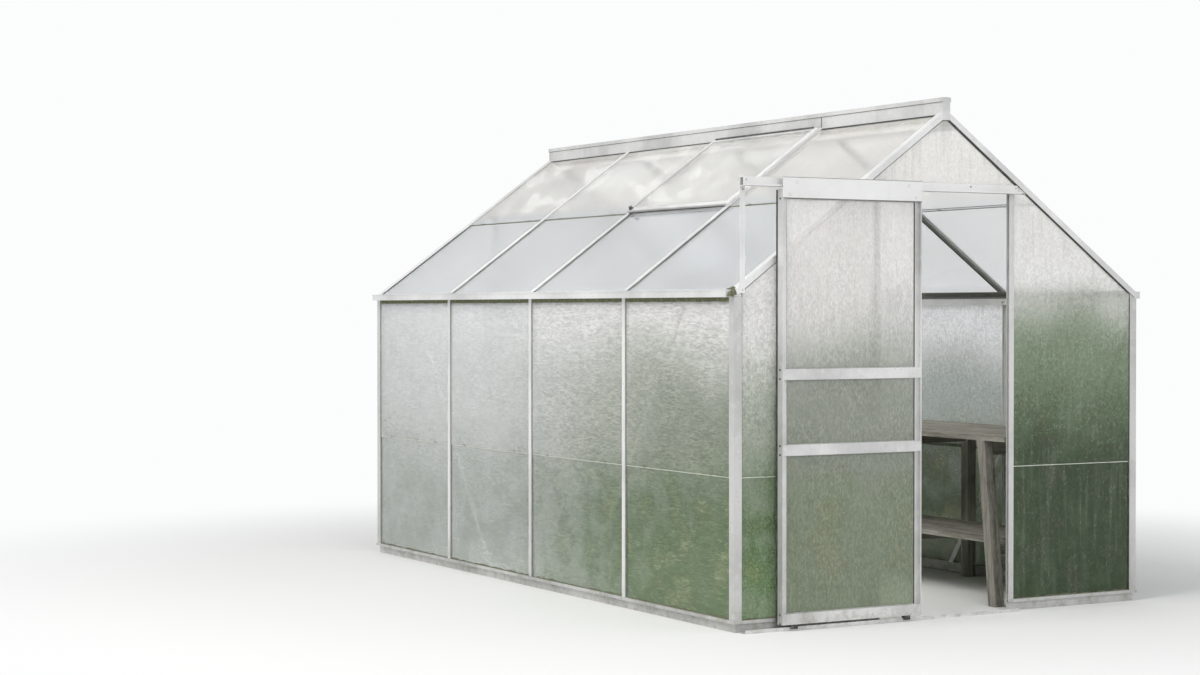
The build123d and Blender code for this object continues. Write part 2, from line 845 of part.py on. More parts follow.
# Guide on the ground for the foot of the door
pane_out = (door_back_out + door_front_out) / 2
with BuildSketch() as guide_section:
    with BuildLine():
        Polyline(
            (0, 0),
            (pane_out + sheet / 2, 0),
            (pane_out + sheet / 2, guide_fin_height),
            (pane_out - sheet / 2, guide_fin_height),
            (pane_out - sheet / 2, sheet),
            (0, sheet),
            close=True,
        )
    make_face()
with BuildPart() as door_guide:
    with BuildSketch(Plane(origin=(track_right, front_y, 0), x_dir=FRONT, z_dir=LEFT)):
        add(guide_section.sketch)
    extrude(amount=track_right - track_left)
export(door_guide, "door_guide")

# Sliding door: channel stiles whose flanges hold the edges of three panes
door_left = -door_open_by - door_width / 2
door_right = door_left + door_width
door_back_y = front_y - door_back_out
groove_width = glass_thickness + 2 * glass_groove_gap
groove_low = (door_depth - groove_width) / 2
groove_high = groove_low + groove_width
with BuildSketch() as stile_section:
    with Locations((stile_web / 2, door_depth / 2)):
        Rectangle(stile_web, door_depth)
    with Locations((stile_width / 2, groove_low - stile_flange / 2)):
        Rectangle(stile_width, stile_flange)
    with Locations((stile_width / 2, groove_high + stile_flange / 2)):
        Rectangle(stile_width, stile_flange)
    with Locations((stile_lip / 2, stile_flange / 2), (stile_lip / 2, door_depth - stile_flange / 2)):
        Rectangle(stile_lip, stile_flange)
with BuildPart() as door_stiles:
    with BuildSketch(Plane(origin=(door_left, door_back_y, door_bottom), x_dir=RIGHT, z_dir=UP * -1)):
        add(stile_section.sketch)
    extrude(amount=-(door_top - door_bottom))
    with BuildSketch(Plane(origin=(door_right, door_back_y, door_bottom), x_dir=LEFT, z_dir=UP)):
        add(stile_section.sketch)
    extrude(amount=door_top - door_bottom)
export(door_stiles, "door_stiles")

# Rails: a grooved body between the stiles' flanges, with a cheek in front that laps over them
cheek_depth = (door_depth - groove_width) / 2 - stile_flange - cheek_gap
bottom_rail_z = door_bottom + door_rail_height / 2
top_rail_z = door_top - door_top_rail_height / 2
door_rail_places = (
    (bottom_rail_z, door_rail_height, (1,)),
    (door_rail_centres[1], door_rail_height, (-1, 1)),
    (door_rail_centres[0], door_rail_height, (-1, 1)),
    (top_rail_z, door_top_rail_height, (-1,)),
)
with BuildPart() as door_rails:
    for place, height, groove_sides in door_rail_places:
        body_end = Vector(door_right - stile_width, front_y, place)
        with BuildSketch(Plane(origin=body_end, x_dir=FRONT, z_dir=LEFT)):
            with Locations((door_front_out - door_rail_depth / 2, 0)):
                Rectangle(door_rail_depth, height)
            for side in groove_sides:
                with Locations((pane_out, side * (height - glass_groove_depth) / 2)):
                    Rectangle(groove_width, glass_groove_depth, mode=Mode.SUBTRACT)
        extrude(amount=door_width - 2 * stile_width)
        cheek_end = Vector(door_right - stile_lip, front_y, place)
        with BuildSketch(Plane(origin=cheek_end, x_dir=FRONT, z_dir=LEFT)):
            with Locations((door_front_out - cheek_depth / 2, 0)):
                Rectangle(cheek_depth, height)
        extrude(amount=door_width - 2 * stile_lip)
export(door_rails, "door_rails")

pane_into_groove = glass_groove_depth - glass_edge_gap
door_pane_width = door_width - 2 * (stile_web + glass_edge_gap)
door_pane_ranges = (
    (door_bottom + door_rail_height, door_rail_centres[1] - door_rail_height / 2),
    (door_rail_centres[1] + door_rail_height / 2, door_rail_centres[0] - door_rail_height / 2),
    (door_rail_centres[0] + door_rail_height / 2, door_top - door_top_rail_height),
)
with BuildPart() as door_glass:
    with BuildSketch(Plane.XZ.offset(-(front_y - pane_out + glass_thickness / 2))):
        for low, high in door_pane_ranges:
            with Locations((-door_open_by, (low + high) / 2)):
                Rectangle(door_pane_width, high - low + 2 * pane_into_groove)
    extrude(amount=glass_thickness)
export(door_glass, "door_glass")

rib_out = cap_out + rib_middle
roller_height = track_bottom + rib_top + roller_running_gap + roller_groove_radius
hanger_top = roller_height + hanger_over_axle
hanger_bottom = door_top - hanger_lap
with BuildPart() as door_hanger:
    with BuildSketch(Plane.XZ.offset(-(front_y - door_front_out))):
        with Locations((-door_open_by, (hanger_top + hanger_bottom) / 2)):
            Rectangle(door_width, hanger_top - hanger_bottom)
    extrude(amount=hanger_thickness)
export(door_hanger, "door_hanger")

# Rollers on their axles behind the hanger plate, grooved to sit over the rib of the track
roller_bore = axle_radius + roller_bore_gap
roller_places = (door_left + roller_inset, door_right - roller_inset)
head_out = rib_out - roller_width / 2 - roller_bore_gap
with BuildPart() as door_rollers:
    for place in roller_places:
        middle = Vector(place, front_y - rib_out, roller_height)
        with BuildSketch(Plane(origin=middle, x_dir=UP, z_dir=RIGHT)):
            with BuildLine():
                Polyline(
                    (roller_bore, -roller_width / 2),
                    (roller_rim_radius, -roller_width / 2),
                    (roller_rim_radius, -roller_groove_width),
                    (roller_groove_radius, -roller_groove_width / 2),
                    (roller_groove_radius, roller_groove_width / 2),
                    (roller_rim_radius, roller_groove_width),
                    (roller_rim_radius, roller_width / 2),
                    (roller_bore, roller_width / 2),
                    close=True,
                )
            make_face()
        revolve(axis=Axis(middle, REAR))
export(door_rollers, "door_rollers")

with BuildPart() as roller_axles:
    for place in roller_places:
        hanger_back = Plane(origin=(place, front_y - door_front_out, roller_height), z_dir=REAR)
        with BuildSketch(hanger_back):
            Circle(axle_radius)
        extrude(amount=door_front_out - head_out)
        with BuildSketch(hanger_back.offset(door_front_out - head_out)):
            Circle(axle_head_radius)
        extrude(amount=axle_head_length)
export(roller_axles, "roller_axles")

shoe_places = (door_left + shoe_inset, door_right - shoe_inset)
shoe_slot = sheet + 2 * shoe_side_gap
shoe_height = door_bottom - shoe_ground_gap
slot_height = guide_fin_height + shoe_top_gap - shoe_ground_gap
with BuildPart() as door_shoes:
    for place in shoe_places:
        origin = Vector(place - shoe_length / 2, front_y - pane_out, shoe_ground_gap + shoe_height / 2)
        with BuildSketch(Plane(origin=origin, x_dir=REAR, z_dir=RIGHT)):
            Rectangle(shoe_width, shoe_height)
            with Locations((0, (slot_height - shoe_height) / 2)):
                Rectangle(shoe_slot, slot_height, mode=Mode.SUBTRACT)
        extrude(amount=shoe_length)
export(door_shoes, "door_shoes")

# Wooden staging bench along the right wall
bench_right = house_half_width - sill_foot - bench_wall_gap
bench_left = bench_right - bench_depth
bench_near = front_y + bench_front_gap
bench_middle_y = bench_near + bench_length / 2
bench_middle_x = (bench_left + bench_right) / 2
board_width = (bench_depth - (bench_board_count - 1) * bench_board_gap) / bench_board_count
leg_top = bench_height - bench_board_thickness
row_pitch = (bench_length - 2 * bench_leg_inset) / (bench_leg_rows - 1)
leg_rows = [bench_near + bench_leg_inset + row * row_pitch for row in range(bench_leg_rows)]


def leg_middle(row_y, height):
    """Middle of a leg at a height: the rows lean outward from the middle of the bench."""
    lean = (row_y - bench_middle_y) / (bench_length / 2 - bench_leg_inset)
    return row_y + lean * bench_leg_splay * (1 - height / leg_top)


with BuildPart() as bench_top:
    with BuildSketch(Plane.XY.offset(leg_top)):
        with Locations((bench_middle_x, bench_middle_y)):
            with GridLocations(board_width + bench_board_gap, 0, bench_board_count, 1):
                Rectangle(board_width, bench_length)
    extrude(amount=bench_board_thickness)
export(bench_top, "bench_top")

leg_spread = bench_depth - bench_leg
with BuildPart() as bench_legs:
    for leg_start in (bench_left, bench_right - bench_leg):
        with BuildSketch(Plane.YZ.offset(leg_start)):
            for row in leg_rows:
                foot = leg_middle(row, 0)
                leg_corners = (
                    (foot - bench_leg / 2, 0),
                    (foot + bench_leg / 2, 0),
                    (row + bench_leg / 2, leg_top),
                    (row - bench_leg / 2, leg_top),
                )
                Polygon(*leg_corners, align=None)
        extrude(amount=bench_leg)
export(bench_legs, "bench_legs")

cross_length = leg_spread - bench_leg
shelf_board = (bench_shelf_depth - (bench_shelf_boards - 1) * bench_board_gap) / bench_shelf_boards
rail_low = bench_shelf_height - bench_board_thickness - bench_rail_height
with BuildPart() as bench_rails:
    for level in (leg_top - bench_rail_height, rail_low):
        with BuildSketch(Plane.XY.offset(level)):
            for row in leg_rows:
                with Locations((bench_middle_x, leg_middle(row, level + bench_rail_height / 2))):
                    Rectangle(cross_length, bench_rail_thickness)
        extrude(amount=bench_rail_height)
export(bench_rails, "bench_rails")

with BuildPart() as bench_shelf:
    with BuildSketch(Plane.XY.offset(bench_shelf_height - bench_board_thickness)):
        with Locations((bench_middle_x, bench_middle_y)):
            with GridLocations(shelf_board + bench_board_gap, 0, bench_shelf_boards, 1):
                Rectangle(shelf_board, bench_length)
    extrude(amount=bench_board_thickness)
export(bench_shelf, "bench_shelf")
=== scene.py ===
# %% [markdown]
# # An old aluminium glasshouse
# The house stands finished in the frame: bars, sills, gutters, panes and the sliding door all come
# from the construction model at their real size. This lesson gives them their surfaces, and adds the
# small things that only show up close: rubber strips, bolts, clips, seams, dirt and moss.
# We load the frame first.

# %% Load the frame
import bmesh
import bpy
import math
import random
from mathutils import Matrix, Vector
from mathutils import noise as field


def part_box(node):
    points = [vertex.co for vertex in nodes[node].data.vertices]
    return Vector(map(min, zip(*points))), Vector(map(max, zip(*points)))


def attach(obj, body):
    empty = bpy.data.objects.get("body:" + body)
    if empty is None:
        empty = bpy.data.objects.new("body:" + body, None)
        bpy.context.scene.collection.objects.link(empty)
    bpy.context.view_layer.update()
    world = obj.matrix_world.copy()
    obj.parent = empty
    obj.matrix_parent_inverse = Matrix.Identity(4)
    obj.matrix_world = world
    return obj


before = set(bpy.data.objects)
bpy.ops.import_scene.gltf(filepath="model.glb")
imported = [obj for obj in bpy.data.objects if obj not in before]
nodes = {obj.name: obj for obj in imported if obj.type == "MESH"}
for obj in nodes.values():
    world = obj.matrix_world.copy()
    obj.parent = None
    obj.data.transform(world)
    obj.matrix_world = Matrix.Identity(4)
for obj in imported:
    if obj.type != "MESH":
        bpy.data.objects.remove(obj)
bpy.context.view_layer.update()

# %% [markdown]
# ## The camera
# A photograph's viewpoint can be guessed by eye or worked out. Here it was worked out from the places
# of the posts, bars and ridge, which gives a long lens a little above chest height, standing off the
# left front corner. A long lens keeps the upright bars almost parallel, as they are in the photograph.

# %% Place the camera
scene = bpy.context.scene
camera_data = bpy.data.cameras.new("camera")
camera = bpy.data.objects.new("camera", camera_data)
scene.collection.objects.link(camera)
camera_data.sensor_width = 36.0
camera_data.lens = 68.1
camera_data.clip_end = 200.0
camera.location = (-5.452, -8.561, 1.180)
camera_yaw = 29.33      # degrees from +Y towards +X
camera_pitch = -0.68    # degrees above the horizon
camera.rotation_euler = (math.radians(90.0 + camera_pitch), 0.0, math.radians(-camera_yaw))
scene.camera = camera
print("lens", camera_data.lens, "mm, eye height", round(camera.location.z, 2), "m")

# %% [markdown]
# ## A plain studio
# Glass and bare metal have little colour of their own and mostly show what is around them, so the
# room matters more here than it does for wood. A white world is seen by the camera and in every
# reflection, while a dimmer one lights the surfaces, so that pale metal doesn't burn out.
# The trick is the Light Path node, which tells what kind of ray is asking.
# The world, the floor and all the finishes are networks of nodes, so a helper that adds a node and
# fills its inputs comes first.

# %% A helper that adds a node


def put(tree, value, socket):
    """Links a socket to another, or sets it to a value."""
    if isinstance(value, bpy.types.NodeSocket):
        tree.links.new(value, socket)
    elif isinstance(value, tuple) and len(value) == 3 and socket.type == "RGBA":
        socket.default_value = (*value, 1.0)
    else:
        socket.default_value = value


def add_node(tree, kind, values=(), **settings):
    """Adds a node, sets its settings, and gives each input that is named a value or a link."""
    node = tree.nodes.new("ShaderNode" + kind)
    for name, value in settings.items():
        setattr(node, name, value)
    for name, value in dict(values).items():
        put(tree, value, node.inputs[name])
    return node


print("node helper ready")

# %% Light the room
scene.view_settings.view_transform = "Standard"
SKY_LIGHT = 0.62        # strength of the world as a lamp
SEEN_WHITE = (0.97, 0.975, 0.98)


def seen_directly(tree):
    """1 for rays from the camera, off metal and through glass, and 0 for the others."""
    path = add_node(tree, "LightPath").outputs
    total = add_node(tree, "Math", {0: path["Is Camera Ray"], 1: path["Is Glossy Ray"]}, operation="ADD")
    values = {0: total.outputs[0], 1: path["Is Transmission Ray"]}
    return add_node(tree, "Math", values, operation="ADD", use_clamp=True).outputs[0]


world = bpy.data.worlds.new("studio")
scene.world = world
world.use_nodes = True
tree = world.node_tree
tree.nodes.clear()
lamp_sky = add_node(tree, "Background", {"Color": (0.96, 0.98, 1.0), "Strength": SKY_LIGHT}).outputs[0]
seen_sky = add_node(tree, "Background", {"Color": SEEN_WHITE}).outputs[0]
choose_sky = add_node(tree, "MixShader", {0: seen_directly(tree), 1: lamp_sky, 2: seen_sky})
add_node(tree, "OutputWorld", {"Surface": choose_sky.outputs[0]})


def soft_lamp(name, place, target, size, power, colour=(1.0, 1.0, 1.0)):
    """Square area lamp that looks at a target."""
    data = bpy.data.lights.new(name, "AREA")
    data.size = size
    data.energy = power
    data.color = colour
    lamp = bpy.data.objects.new(name, data)
    scene.collection.objects.link(lamp)
    lamp.location = place
    lamp.rotation_euler = (Vector(target) - Vector(place)).to_track_quat("-Z", "Y").to_euler()


soft_lamp("sun_haze", (-6.5, -2.0, 7.5), (0.0, 0.0, 0.8), 5.0, 520.0, (1.0, 0.985, 0.96))
soft_lamp("front_fill", (-2.0, -9.5, 4.5), (0.0, -1.5, 0.9), 4.0, 210.0)

# %% [markdown]
# ## The floor
# A plain pale floor takes the shadow of the house. Further out it fades to the colour of the world,
# so that no horizon line cuts through the glass. The fade is worked out from the floor's own
# coordinates, and so it stays where it is when the camera moves.

# %% Lay the floor
FLOOR_SIZE = 60.0
FADE_FROM, FADE_TO = 2.0, 4.6       # metres from the middle of the house
bpy.ops.mesh.primitive_plane_add(size=FLOOR_SIZE, location=(0.0, 0.0, 0.0))
floor = bpy.context.object
floor.name = "floor"
floor_material = bpy.data.materials.new("pale_floor")
floor_material.use_nodes = True
tree = floor_material.node_tree
tree.nodes.clear()
place = add_node(tree, "TexCoord").outputs["Object"]
reach = add_node(tree, "VectorMath", {0: place}, operation="LENGTH").outputs["Value"]
values = {"Value": reach, "From Min": FADE_FROM, "From Max": FADE_TO}
fade = add_node(tree, "MapRange", values, interpolation_type="SMOOTHSTEP").outputs["Result"]
share = add_node(tree, "Math", {0: fade, 1: seen_directly(tree)}, operation="MULTIPLY").outputs[0]
pale = add_node(tree, "BsdfDiffuse", {"Color": (0.80, 0.80, 0.79)}).outputs[0]
bright = add_node(tree, "Emission", {"Color": SEEN_WHITE}).outputs[0]
blend_floor = add_node(tree, "MixShader", {0: share, 1: pale, 2: bright})
add_node(tree, "OutputMaterial", {"Surface": blend_floor.outputs[0]})
floor.data.materials.append(floor_material)
print("floor", FLOOR_SIZE, "m across")

# %% [markdown]
# ## Building materials from nodes
# Each finish below is a small network: textures make masks, masks choose between colours, and the
# result drives the surface. A few helpers keep those networks short enough to read. All textures use
# object coordinates, which here are real metres, so a scale of 100 means features of about 10 mm.
# Every octave of noise costs time at each hit of a ray, and a bump asks for its noise three times.
# Where rays pass through pane after pane that adds up, so detail is kept low where it doesn't show.

# %% Helpers for node networks


class Finish:
    """A material under construction, with short calls for the nodes that we use most."""

    def __init__(self, name):
        self.material = bpy.data.materials.new(name)
        self.material.use_nodes = True
        self.tree = self.material.node_tree
        self.tree.nodes.clear()
        self.output = add_node(self.tree, "OutputMaterial")
        self.surface = add_node(self.tree, "BsdfPrincipled")
        put(self.tree, self.surface.outputs[0], self.output.inputs["Surface"])
        self.place = add_node(self.tree, "TexCoord").outputs["Object"]

    def node(self, kind, values, result=0, **settings):
        """Adds a node and returns one of its outputs."""
        return add_node(self.tree, kind, values, **settings).outputs[result]

    def stretch(self, scale):
        """Coordinates scaled along each axis, so that a texture runs with the grain or the rain."""
        return self.node("Mapping", {"Scale": scale, "Vector": self.place})

    def lean(self, size, angle):
        """Coordinates turned about X and divided by a size, for marks that lie at a slant."""
        values = {"Rotation": (angle, 0.0, 0.0), "Scale": size, "Vector": self.place}
        return self.node("Mapping", values, vector_type="TEXTURE")

    def noise(self, scale, detail=2.0, rough=0.5, where=None, twist=0.0):
        values = {"Scale": scale, "Detail": detail, "Roughness": rough, "Distortion": twist}
        values["Vector"] = where or self.place
        return self.node("TexNoise", values, "Fac")

    def ramp(self, value, low, high, to_low=0.0, to_high=1.0):
        """Turns the stretch from low to high into a smooth mask."""
        values = {"Value": value, "From Min": low, "From Max": high, "To Min": to_low, "To Max": to_high}
        return self.node("MapRange", values, "Result", interpolation_type="SMOOTHSTEP")

    def axis(self, name):
        return self.node("SeparateXYZ", {0: self.place}, name)

    def fade(self, axis, start, end, to_low=0.0, to_high=1.0):
        """Smooth mask between two places on an axis."""
        return self.ramp(self.axis(axis), start, end, to_low, to_high)

    def maths(self, kind, first, second, clamp=False):
        return self.node("Math", {0: first, 1: second}, operation=kind, use_clamp=clamp)

    def product(self, first, second, clamp=False):
        return self.maths("MULTIPLY", first, second, clamp)

    def add(self, first, second, clamp=False):
        return self.maths("ADD", first, second, clamp)

    def mix(self, share, first, second):
        return self.node("Mix", {0: share, 6: first, 7: second}, 2, data_type="RGBA")

    def layers(self, colour, *masked):
        """Lays colours over a first one, each through its own mask."""
        for share, layer in masked:
            colour = self.mix(share, colour, layer)
        return colour

    def times(self, colour, factor):
        """Makes a colour lighter or darker by a factor."""
        return self.node("VectorMath", {0: colour, "Scale": factor}, operation="SCALE")

    def along(self, direction):
        """Distance from the origin along a direction, as a socket."""
        return self.node("VectorMath", {0: self.place, 1: direction}, "Value", operation="DOT_PRODUCT")

    def relief(self, height, depth, strength, under=None):
        values = {"Distance": depth, "Strength": strength, "Height": height}
        if under is not None:
            values["Normal"] = under
        return self.node("Bump", values)

    def finish(self, **values):
        """Sets the surface's own sockets, with underscores for spaces."""
        for name, value in values.items():
            put(self.tree, value, self.surface.inputs[name.replace("_", " ")])
        return self.material


print("helpers ready")

# %% [markdown]
# ## Weathered aluminium
# The bars are mill-finish aluminium that has stood outside for decades. It is no longer shiny: a
# chalky oxide makes it pale grey, rain leaves faint streaks, and grit sticks near the ground. One
# could paint this by hand, but the house has hundreds of faces, so masks from noise are better: a
# broad one for the oxide, one stretched upright for the rain, a fine one for specks, and one from
# the height above the ground for the splashed earth.
# The same recipe serves five kinds of metal in different tones: the flat plates over the door are the
# lightest, the door's frame, the header and the ridge are darker, and the posts and sills are the dullest.

# %% Aluminium
PALE, DULL = (0.78, 0.78, 0.775), (0.60, 0.60, 0.595)
CHALK = (0.88, 0.88, 0.87)
RAIN_GREY = (0.50, 0.50, 0.48)
EARTH = (0.25, 0.22, 0.16)
# The next two give painted shade: the near black on the inner sides of the right bars and gutter
INNER_SHADE_GREY = (0.060, 0.062, 0.050)
INNER_SHADE_SHARE = 0.82
POST_SPLASH = 0.20      # height of the splashed earth on posts and sills


def weathered_aluminium(name, pale=PALE, dull=DULL, splash_height=0.16, wear=1.0, inside=None):
    """inside is a direction into the house and the distance along it where the painted shade on the inner
    side starts.
    """
    look = Finish(name)
    oxide = look.noise(2.6, 4.0, 0.6)
    rain = look.noise(1.0, 3.0, 0.6, look.stretch((60.0, 60.0, 4.0)))
    mottle = look.noise(34.0, 3.0, 0.62)
    specks = look.ramp(look.noise(150.0, 1.0), 0.70, 0.76, 0.0, 0.45 * wear)
    grit = look.ramp(look.noise(24.0, 3.0, 0.7), 0.42, 0.72, 0.0, 0.45)
    dirt = look.maths("MAXIMUM", specks, look.product(look.fade("Z", splash_height, 0.0), grit))
    colour = look.layers(
        pale,
        (look.ramp(oxide, 0.36, 0.70), dull),
        (look.ramp(rain, 0.50, 0.80, 0.0, 0.30 * wear), RAIN_GREY),
        (look.ramp(mottle, 0.50, 0.80, 0.0, 0.30), CHALK),
        (dirt, EARTH),
    )
    # Painted shade: the side inside the house is made near black
    if inside is not None:
        direction, edge = inside
        inner_shade = look.ramp(look.along(direction), edge, edge + 0.002, 0.0, INNER_SHADE_SHARE)
        colour = look.mix(inner_shade, colour, INNER_SHADE_GREY)
    gloss = look.add(look.ramp(mottle, 0.3, 0.7, 0.40, 0.56), look.product(dirt, 0.3), clamp=True)
    drawn = look.noise(1.0, 1.0, 0.5, look.stretch((420.0, 420.0, 24.0)))
    relief = look.relief(drawn, 0.00015, 0.4)
    return look.finish(Base_Color=colour, Roughness=gloss, Metallic=0.55, Normal=relief)


aluminium = weathered_aluminium("weathered_aluminium")
dull_posts = weathered_aluminium("dull_posts", (0.60, 0.60, 0.59), (0.46, 0.46, 0.45), POST_SPLASH)
bright_plate = weathered_aluminium("bright_plate", (0.80, 0.80, 0.795), (0.72, 0.72, 0.715), wear=0.3)
darker_frame = weathered_aluminium("darker_frame", (0.71, 0.71, 0.705), (0.50, 0.50, 0.495))
door_post_metal = weathered_aluminium("door_post_metal", (0.64, 0.64, 0.63), (0.52, 0.52, 0.51), POST_SPLASH)
print("made", aluminium.name, "with", len(aluminium.node_tree.nodes), "nodes")

# %% [markdown]
# ## Rolled glass
# Horticultural glass for walls is rolled between patterned cylinders, so one face is a shallow
# hammered relief. Light comes through, but what is behind turns soft and broken. We could model every
# dimple, which would be far too heavy. Instead the panes stay flat solids. A twisted noise drives a
# bump, and also lightens the crests and darkens the hollows, because a real dimple gathers light on
# one side and loses it on the other.
# On top lies what the years leave: a dull film, and green growth that starts about a metre up and gets
# denser towards the damp ground. It is heaviest near the front corner. The far end of the wall is cleaner
# and cooler in colour. On the right of the gable the growth climbs higher, and there the glass is also
# darker, which is partly growth and partly painted shade.
# Where it grows, more of the light is scattered and less passes, which keeps the relief in sight.
# For rays that carry lamp light the pane is simply clear. The mix factor is then exactly 1, and the
# renderer skips the whole network, which more than halves the time of a picture.

# %% Glass that lets lamp light pass
LAP_HEIGHT = 0.575      # below the lap the panes are dirtier, because water stands in it
GLASS_IOR = 1.45
OCHRE = (0.40, 0.40, 0.24)
COOL_GREY = (0.68, 0.715, 0.745)
# Colour of the painted highlight on the tops of the dimples
CREST_HIGHLIGHT = (0.97, 0.97, 0.96)
DIMPLE_SCALE = 125.0    # dimples of about 8 mm
PANE_BLUR = 0.11
GLINT = 0.28            # painted highlight: how far a crest goes towards the highlight colour


def clear_to_lamps(look, tint):
    """Makes a finished pane transparent, with a tint, for the rays that carry lamp light."""
    through = look.node("BsdfTransparent", {"Color": tint})
    lamp_ray = look.node("LightPath", {}, "Is Shadow Ray")
    choose = look.node("MixShader", {0: lamp_ray, 1: look.surface.outputs[0], 2: through})
    put(look.tree, choose, look.output.inputs["Surface"])
    return look.material


# %% Hammered glass for the walls, gables and door


def rolled_glass(
    name,
    clean,
    middle,
    deep,
    grain=(1.0, 1.0, 0.8),
    passing=(0.64, 0.56),           # share of light that passes where clean, and where grown over
    sparkle=(0.14, 0.38),           # contrast of the dimples' painted light and shade at the weak and the strong end
    relief_from=("Y", 0.6, -0.6),   # axis, weak end and strong end of that contrast
    drips=0.10,
    start=1.14,                     # height where the growth starts, and where it is full
    full=0.80,
    shade=("Y", -0.2, -1.0),        # axis, clean end and shaded end
    least=1.0,                      # growth at the clean end
    climb=0.0,                      # how much higher it grows at the shaded end
    cool=0.0,
    # dark: how much darker the glass gets at the shaded end, partly growth and partly painted shade
    dark=0.0,
    lamp_power=1.0,
):
    look = Finish(name)
    hammered = look.noise(DIMPLE_SCALE, 2.0, 0.60, look.stretch(grain), 0.8)
    swell = look.noise(0.36 * DIMPLE_SCALE, 1.0, 0.5, look.stretch(grain), 0.6)
    height = look.axis("Z")
    patch = look.noise(2.4, 1.5, 0.5)
    blotch = look.noise(7.0, 2.0, 0.55)
    shaded = look.fade(*shade, least, 1.0)

    # Green growth, with a wandering upper edge
    wander = look.product(look.maths("SUBTRACT", patch, 0.5), 0.30)
    level = look.maths("SUBTRACT", look.add(height, wander), look.fade(*shade, 0.0, climb))
    green = look.product(look.ramp(level, start, full), shaded)
    below_lap = look.ramp(height, LAP_HEIGHT + 0.003, LAP_HEIGHT - 0.003, 0.0, 0.16)
    dense = look.add(look.ramp(level, full, 0.30), below_lap)
    dense = look.product(dense, look.maths("POWER", shaded, 0.5))
    dense = look.product(dense, look.ramp(blotch, 0.34, 0.66, 0.72, 1.15), clamp=True)
    ochre = look.product(dense, look.ramp(blotch, 0.50, 0.70, 0.0, 0.34))
    bluish = look.product(look.maths("POWER", look.maths("SUBTRACT", 1.0, shaded), 2.0), cool)
    colour = look.layers(clean, (green, middle), (dense, deep), (ochre, OCHRE), (bluish, COOL_GREY))
    # Darker at the shaded end where growth is dense: partly growth, partly painted shade
    shade_darkening = look.product(look.fade(*shade, 0.0, -dark), dense)
    colour = look.times(colour, look.add(shade_darkening, 1.0))

    # Drips of dust, and the painted light and shade on the sides of the dimples, with a painted highlight
    # where they peak
    runs = look.noise(1.0, 2.0, 0.6, look.stretch((40.0, 40.0, 3.0)))
    dust = tuple(0.6 * value + 0.25 for value in middle)
    colour = look.mix(look.ramp(runs, 0.45, 0.75, 0.0, drips), colour, dust)
    contrast = look.product(look.fade(*relief_from, *sparkle), look.ramp(blotch, 0.38, 0.62, 0.75, 1.15))
    waves = look.add(look.product(hammered, 0.76), look.product(swell, 0.24))
    dimple_light_and_shade = look.product(look.ramp(waves, 0.38, 0.62, -0.55, 0.45), contrast)
    colour = look.times(colour, look.add(dimple_light_and_shade, 1.0))
    crest_highlight = look.product(look.ramp(waves, 0.56, 0.66, 0.0, GLINT), contrast)
    look.finish(
        Base_Color=look.mix(crest_highlight, colour, CREST_HIGHLIGHT),
        Roughness=PANE_BLUR,
        IOR=GLASS_IOR,
        Transmission_Weight=look.ramp(green, 0.0, 1.0, *passing),
        Normal=look.relief(waves, 0.0010, 0.9),
    )
    return clear_to_lamps(look, tuple((0.5 * (a + b)) ** lamp_power for a, b in zip(clean, middle)))


wall_pane = rolled_glass(
    "wall_pane",
    clean=(0.885, 0.875, 0.865),
    middle=(0.325, 0.365, 0.29),
    deep=(0.145, 0.223, 0.10),
    grain=(1.0, 0.24, 1.1),
    passing=(0.67, 0.55),
    sparkle=(0.17, 0.34),
    start=1.23,
    shade=("Y", 0.5, -1.5),
    least=0.20,
    cool=0.65,
    lamp_power=0.25,
)
gable_pane = rolled_glass(
    "gable_pane",
    clean=(0.97, 0.955, 0.94),
    middle=(0.27, 0.345, 0.225),
    deep=(0.135, 0.249, 0.084),
    passing=(0.64, 0.52),
    sparkle=(0.12, 0.36),
    relief_from=("Z", 1.6, 0.9),
    drips=0.22,
    full=0.78,
    shade=("X", -0.3, 0.5),
    least=0.60,
    climb=0.22,
    dark=0.65,
)
door_pane = rolled_glass(
    "door_pane",
    clean=(0.95, 0.935, 0.925),
    middle=(0.44, 0.47, 0.41),
    deep=(0.33, 0.385, 0.27),
    grain=(1.0, 1.0, 0.50),
    passing=(0.64, 0.55),
    sparkle=(0.11, 0.27),
    relief_from=("Z", 1.6, 0.9),
    drips=0.16,
    start=1.26,
)
shaded_pane = rolled_glass(
    "shaded_pane",
    clean=(0.85, 0.85, 0.87),
    middle=(0.46, 0.50, 0.475),
    deep=(0.15, 0.19, 0.125),
    sparkle=(0.20, 0.30),
    drips=0.04,
    start=1.10,
    shade=("Y", 1.4, -1.0),
    least=0.80,
)
rear_pane = rolled_glass(
    "rear_pane",
    clean=(0.88, 0.88, 0.89),
    middle=(0.36, 0.40, 0.33),
    deep=(0.13, 0.17, 0.095),
    sparkle=(0.20, 0.30),
    shade=("X", -0.70, 0.20),
    least=0.24,
)

# %% Smoother glass for the roof
ROOF_LAP = 1.64         # height of the lap between the lower and the upper roof panes
DUST = (0.98, 0.98, 0.96)
# Pale marks on the upper roof panes: partly wash marks, partly painted patches of sunlight and reflection
SMEAR_AND_SUN = (0.98, 0.975, 0.95)
SMEAR_AND_SUN_SIZE = (10.0, 0.34, 0.080)
SMEAR_AND_SUN_SLANT = math.radians(14.0)
VENT_TINT = (0.86, 0.845, 0.82)


